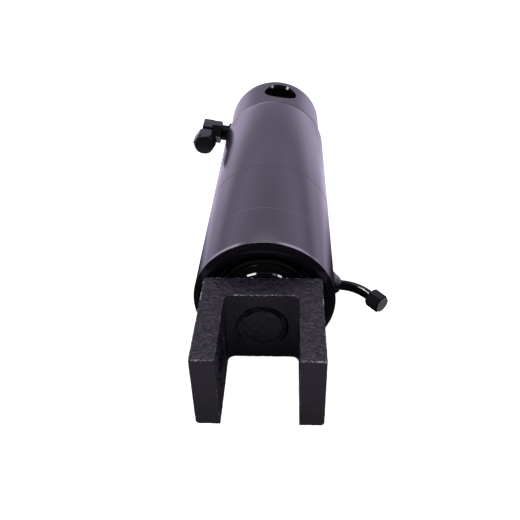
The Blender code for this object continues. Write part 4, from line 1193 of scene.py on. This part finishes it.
def make_swivel_nut(paint):
    nut = hexagon("swivel_nut", FITTING_FLATS, SWIVEL_START, SWIVEL_END, both=False)
    bore = [(0.0090, 0.060), (0.0090, 0.0749), (0.0068, 0.0749), (0.0068, 0.085)]
    carve(nut, turned("nut_bore", bore, 96, True))
    soften(nut, 0.0004, 2, 25.0)
    settle(nut, REAR_PORT)
    shade(nut)
    return coat(nut, paint)


def make_elbow(paint):
    """The forged block with its collared stub and the threaded leg."""
    half = 0.0105
    deep = 0.0125 / 2
    low = (-half, -half, ELBOW_CENTRE - deep)
    high = (half, 0.012, ELBOW_CENTRE + deep)
    body = block("elbow", low, high)
    soften(body, 0.0009, 3)
    stub = [(0.0084, 0.0728), (0.0084, 0.0746), (0.0065, 0.0746), (0.0065, ELBOW_CENTRE)]
    carve(body, turned("stub", stub, 96, True), "UNION")
    leg = [(0.00525, 0.004), (0.00525, 0.019), (0.008, 0.0213), (0.008, 0.035), (0.007, 0.036)]
    into_body = ELBOW_PLACE.inverted() @ LEG_PLACE
    carve(body, turned("leg", leg, 96, True, into_body), "UNION")
    stub_bore = [(OIL_BORE, 0.070), (OIL_BORE, ELBOW_CENTRE)]
    carve(body, turned("stub_bore", stub_bore, 48, True))
    leg_bore = [(OIL_BORE, 0.0), (OIL_BORE, 0.040)]
    carve(body, turned("leg_bore", leg_bore, 48, True, into_body))
    soften(body, 0.0003, 2, 40.0)
    settle(body, ELBOW_PLACE)
    shade(body)
    return coat(body, paint)


def make_blanking_cap(paint):
    """The hexagon cap nut with its turned closed end."""
    cap = hexagon("blanking_cap", FITTING_FLATS, BLANK_START, BLANK_END)
    nose = BLANK_END - 0.003
    outline = [
        (0.020, BLANK_START - 0.001),
        (0.020, nose - 0.0044),
        (0.0123, nose),
        (0.0123, BLANK_END - 0.0014),
        (0.0109, BLANK_END + GAP),
    ]
    carve(cap, turned("nose_turning", outline, 128, True), "INTERSECT")
    carve(cap, turned("cap_bore", [(0.0083, 0.0), (0.0083, 0.0382)], 96, True))
    soften(cap, 0.0004, 2, 25.0)
    settle(cap, LEG_PLACE)
    shade(cap)
    return coat(cap, paint)


def make_boss(paint):
    """The cone of weld round the tube where it enters the barrel, cut to the barrel's curve."""
    profile = [
        (TUBE_HOLE, BOSS_TOP),
        (0.0060, BOSS_TOP),
        (0.0078, 0.0645),
        (0.0096, 0.0618),
        (BOSS_BASE, 0.0600),
        (BOSS_BASE, 0.0566),
        (TUBE_HOLE, 0.0566),
    ]
    boss = turned("boss_weld", profile, 128)
    round_rings(boss, profile[1:5], 0.0008)
    round_barrel = BARREL_RADIUS + 0.0001
    saddle = [(round_barrel, -0.03), (round_barrel, 0.03)]
    across = frame_at((0, 0, 0), RIGHT, UP)
    carve(boss, turned("saddle", saddle, 192, True, across))
    settle(boss, ROD_PORT)
    shade(boss, 40.0)
    return coat(boss, paint)


def make_tube(paint):
    """The bent steel tube, drawn from a circle along its run, with its open end inside the nut."""
    deselect()
    bpy.ops.mesh.primitive_circle_add(vertices=48, radius=TUBE_RADIUS, fill_type="TRIFAN")
    tube = named("bent_tube")
    bpy.ops.object.mode_set(mode="EDIT")
    bpy.ops.mesh.select_mode(type="EDGE")
    bpy.ops.transform.translate(value=(0, 0, TUBE_START))
    bpy.ops.mesh.region_to_loop()
    extrude((0, 0, TUBE_STRAIGHT_END - TUBE_START))
    centre = (TUBE_BEND_RADIUS, 0, TUBE_STRAIGHT_END)
    bpy.ops.mesh.spin(steps=28, angle=-TUBE_BEND, center=centre, axis=(0, 1, 0))
    extrude(TUBE_HEADING * TUBE_TAIL)
    extrude((0, 0, 0))
    bpy.ops.transform.resize(value=(0.7, 0.7, 0.7), center_override=tuple(TUBE_POINTS[-1]))
    extrude(-TUBE_HEADING * 0.006)
    bpy.ops.mesh.edge_face_add()
    close_up()
    settle(tube, ROD_PORT)
    shade(tube, 40.0)
    return coat(tube, paint)


def make_end_nut(paint):
    nut = hexagon("end_nut", NUT_FLATS, 0.0, NUT_LENGTH)
    bore = [(TUBE_HOLE, -0.01), (TUBE_HOLE, 0.003), (0.0059, 0.003), (0.0059, 0.020)]
    carve(nut, turned("end_nut_bore", bore, 64, True))
    soften(nut, 0.0004, 2, 25.0)
    settle(nut, NUT_PLACE)
    shade(nut)
    return coat(nut, paint)


def make_plug(plastic):
    profile = [
        (0.0056, 0.0081),
        (0.0056, 0.0133),
        (0.00675, 0.0133),
        (0.00675, 0.0141),
        (0.0060, 0.0141),
        (0.0057, 0.0139),
    ]
    plug = turned("plug", profile, 64, True)
    round_rings(plug, profile[2:6], 0.0002, 2)
    settle(plug, NUT_PLACE)
    shade(plug)
    return coat(plug, plastic)


def dress(obj, body, slot, *nodes):
    """Says which body the piece rides on and hides the solids it stands for. The slot is not used."""
    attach(obj, body)
    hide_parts(*nodes)


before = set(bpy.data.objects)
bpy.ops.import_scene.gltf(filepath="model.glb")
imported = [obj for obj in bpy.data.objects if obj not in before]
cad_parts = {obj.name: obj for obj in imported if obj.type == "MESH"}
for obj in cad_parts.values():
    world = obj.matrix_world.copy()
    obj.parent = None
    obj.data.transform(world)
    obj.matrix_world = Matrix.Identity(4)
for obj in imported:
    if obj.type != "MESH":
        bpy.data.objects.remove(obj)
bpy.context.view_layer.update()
bpy.ops.object.select_all(action="DESELECT")
bpy.context.scene.view_settings.view_transform = "Standard"

make_camera()
make_world()
make_floor()

# Where the lamps point, and the lamps that light only some pieces
HEAD = (0.0, -0.38, 0.03)
REAR_HOLE = (0.0, -0.03, 0.055)
make_lamp("overhead_softbox", (0.0, 0.25, 1.2), (0.0, -0.2, 0.0), (0.8, 0.5), 3.0)
make_lamp("overhead_strip", (-0.39, -0.23, 1.0), None, (0.94, 0.06), 3.0)
PORT_PIECES = ("bent_tube", "end_nut", "boss_weld")
LINKED_LAMPS = (
    ("left_softbox", (-0.55, -1.34, 0.72), HEAD, (0.50, 0.34), 5.5, ("wiper",)),
    ("right_strip", (0.72, -1.35, 0.65), HEAD, (0.18, 0.30), 1.3, ("wiper",)),
    ("right_panel", (0.49, -1.37, 0.76), HEAD, (0.17, 0.30), 0.18, ("wiper",)),
    ("left_panel", (-0.49, -0.51, 0.72), REAR_HOLE, (0.22, 0.22), 3.0, ("cap",)),
    ("right_window", (0.83, -0.30, 0.45), REAR_HOLE, (0.20, 0.20), 1.6, ("cap",)),
    ("port_panel", (-0.10, -0.225, 1.0), None, (0.34, 0.15), 20.0, PORT_PIECES),
)
lamps = [(make_lamp(*values), pieces) for *values, pieces in LINKED_LAMPS]

barrel_paint = make_barrel_paint()
# A darker, less reflective copy of the gloss paint for the mouth, as painted shade
mouth_shade_paint = make_head_paint(
    "mouth_shade_gloss_paint", (0.009, 0.008, 0.011), (0.006, 0.005, 0.008), 0.07, 0.5, 1.3
)
fork_paint = make_cast_paint()
head_paint = make_head_paint(
    "gland_gloss_paint", (0.005, 0.005, 0.006), (0.003, 0.003, 0.004), 0.08, 1.0
)
clip_paint = make_head_paint("circlip_black", (0.010, 0.010, 0.011), (0.006, 0.006, 0.007), 0.22, 0.35)
tube_paint = make_head_paint(
    "tube_gloss_paint", (0.0016, 0.0014, 0.0020), (0.0010, 0.0010, 0.0014), 0.07, 0.5, 1.3, 0.03
)
# Darker, less reflective copies of the gloss paint for the pin hole's flare and bore, as painted shade
pin_hole_shade_paint = make_head_paint(
    "pin_hole_shade_paint", (0.006, 0.0055, 0.008), (0.004, 0.004, 0.005), 0.10, 0.5, 1.4
)
pin_bore_shade_paint = make_head_paint(
    "pin_bore_shade_paint", (0.003, 0.0025, 0.004), (0.002, 0.002, 0.003), 0.4, 0.2, 1.15
)
boss_paint = make_head_paint("boss_gloss_paint", (0.010, 0.009, 0.013), (0.007, 0.006, 0.009), 0.12, 1.0)
nut_paint = make_head_paint(
    "tube_nut_black", (0.006, 0.006, 0.007), (0.004, 0.004, 0.005), 0.12, 0.5, 1.2
)
fitting_paint = make_fitting_paint()
chrome = make_metal("rod_chrome", (0.62, 0.63, 0.65), (0.78, 0.79, 0.81), 0.09, 0.05)
steel = make_metal("turned_steel", (0.34, 0.34, 0.36), (0.48, 0.48, 0.50), 0.34, 0.2)
bronze = make_metal("guide_bronze", (0.42, 0.27, 0.11), (0.55, 0.37, 0.17), 0.36, 0.2)
nipple_paint = make_head_paint(
    "nipple_black", (0.005, 0.005, 0.006), (0.003, 0.003, 0.004), 0.3, 0.5, 1.15
)
nitrile = make_soft("nitrile_rubber", (0.010, 0.010, 0.010), (0.016, 0.016, 0.017), 0.6)
wiper_coat = make_head_paint("wiper_gloss", (0.006, 0.006, 0.007), (0.004, 0.004, 0.005), 0.05, 1.0)
seal_plastic = make_soft("seal_plastic", (0.035, 0.042, 0.075), (0.050, 0.060, 0.100), 0.45)
plug_plastic = make_soft("plug_plastic", (0.15, 0.15, 0.145), (0.21, 0.21, 0.205), 0.45)

PIECES = (
    (make_barrel(barrel_paint, mouth_shade_paint), "barrel", "gloss_paint", "barrel_tube"),
    (make_cap(barrel_paint, pin_hole_shade_paint, pin_bore_shade_paint), "barrel", "gloss_paint", "rear_cap"),
    (make_gland(head_paint), "barrel", "gland_iron", "gland_head"),
    (make_circlip(clip_paint), "barrel", "spring_steel", "gland_retaining_ring"),
    (make_wiper(wiper_coat), "barrel", "wiper_rubber", "rod_wiper"),
    (make_rod(chrome, fork_paint), "rod_assembly", "hard_chrome", "piston_rod"),
    (make_fork(fork_paint), "rod_assembly", "cast_paint", "clevis"),
    (make_nose_bead(fork_paint), "rod_assembly", "cast_paint", "nose_weld"),
    (make_nipple(nipple_paint), "barrel", "gloss_paint", "rear_port_nipple"),
    (make_nipple_bead(nipple_paint), "barrel", "gloss_paint", "nipple_weld"),
    (make_swivel_nut(fitting_paint), "barrel", "fitting_black", "elbow_swivel_nut"),
    (make_elbow(fitting_paint), "barrel", "fitting_black", "elbow_body"),
    (make_blanking_cap(fitting_paint), "barrel", "fitting_black", "elbow_blanking_cap"),
    (make_boss(boss_paint), "barrel", "gloss_paint", "rod_port_boss"),
    (make_tube(tube_paint), "barrel", "gloss_paint", "rod_port_tube"),
    (make_end_nut(nut_paint), "barrel", "fitting_black", "tube_nut"),
    (make_plug(plug_plastic), "barrel", "plug_grey", "tube_plug"),
)
for piece in PIECES:
    dress(*piece)

INNER_FINISHES = {
    "gland_o_ring": nitrile,
    "gland_backup_ring": seal_plastic,
    "rod_guide_bush": bronze,
    "rod_seal": nitrile,
    "elbow_o_ring": nitrile,
    "blanking_cap_seal": nitrile,
    "tube_sleeve": steel,
    "piston_seal": seal_plastic,
    "piston_seal_energiser": nitrile,
    "piston_guide_band_front": seal_plastic,
    "piston_guide_band_rear": seal_plastic,
    "piston": steel,
    "piston_o_ring": nitrile,
    "piston_nut": steel,
}
for name, finish in INNER_FINISHES.items():
    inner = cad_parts[name]
    inner.data.materials.clear()
    inner.data.materials.append(finish)

for lamp, pieces in lamps:
    lit = bpy.data.collections.new(lamp.name + "_lights")
    for piece in pieces:
        lit.objects.link(bpy.data.objects[piece])
    lamp.light_linking.receiver_collection = lit
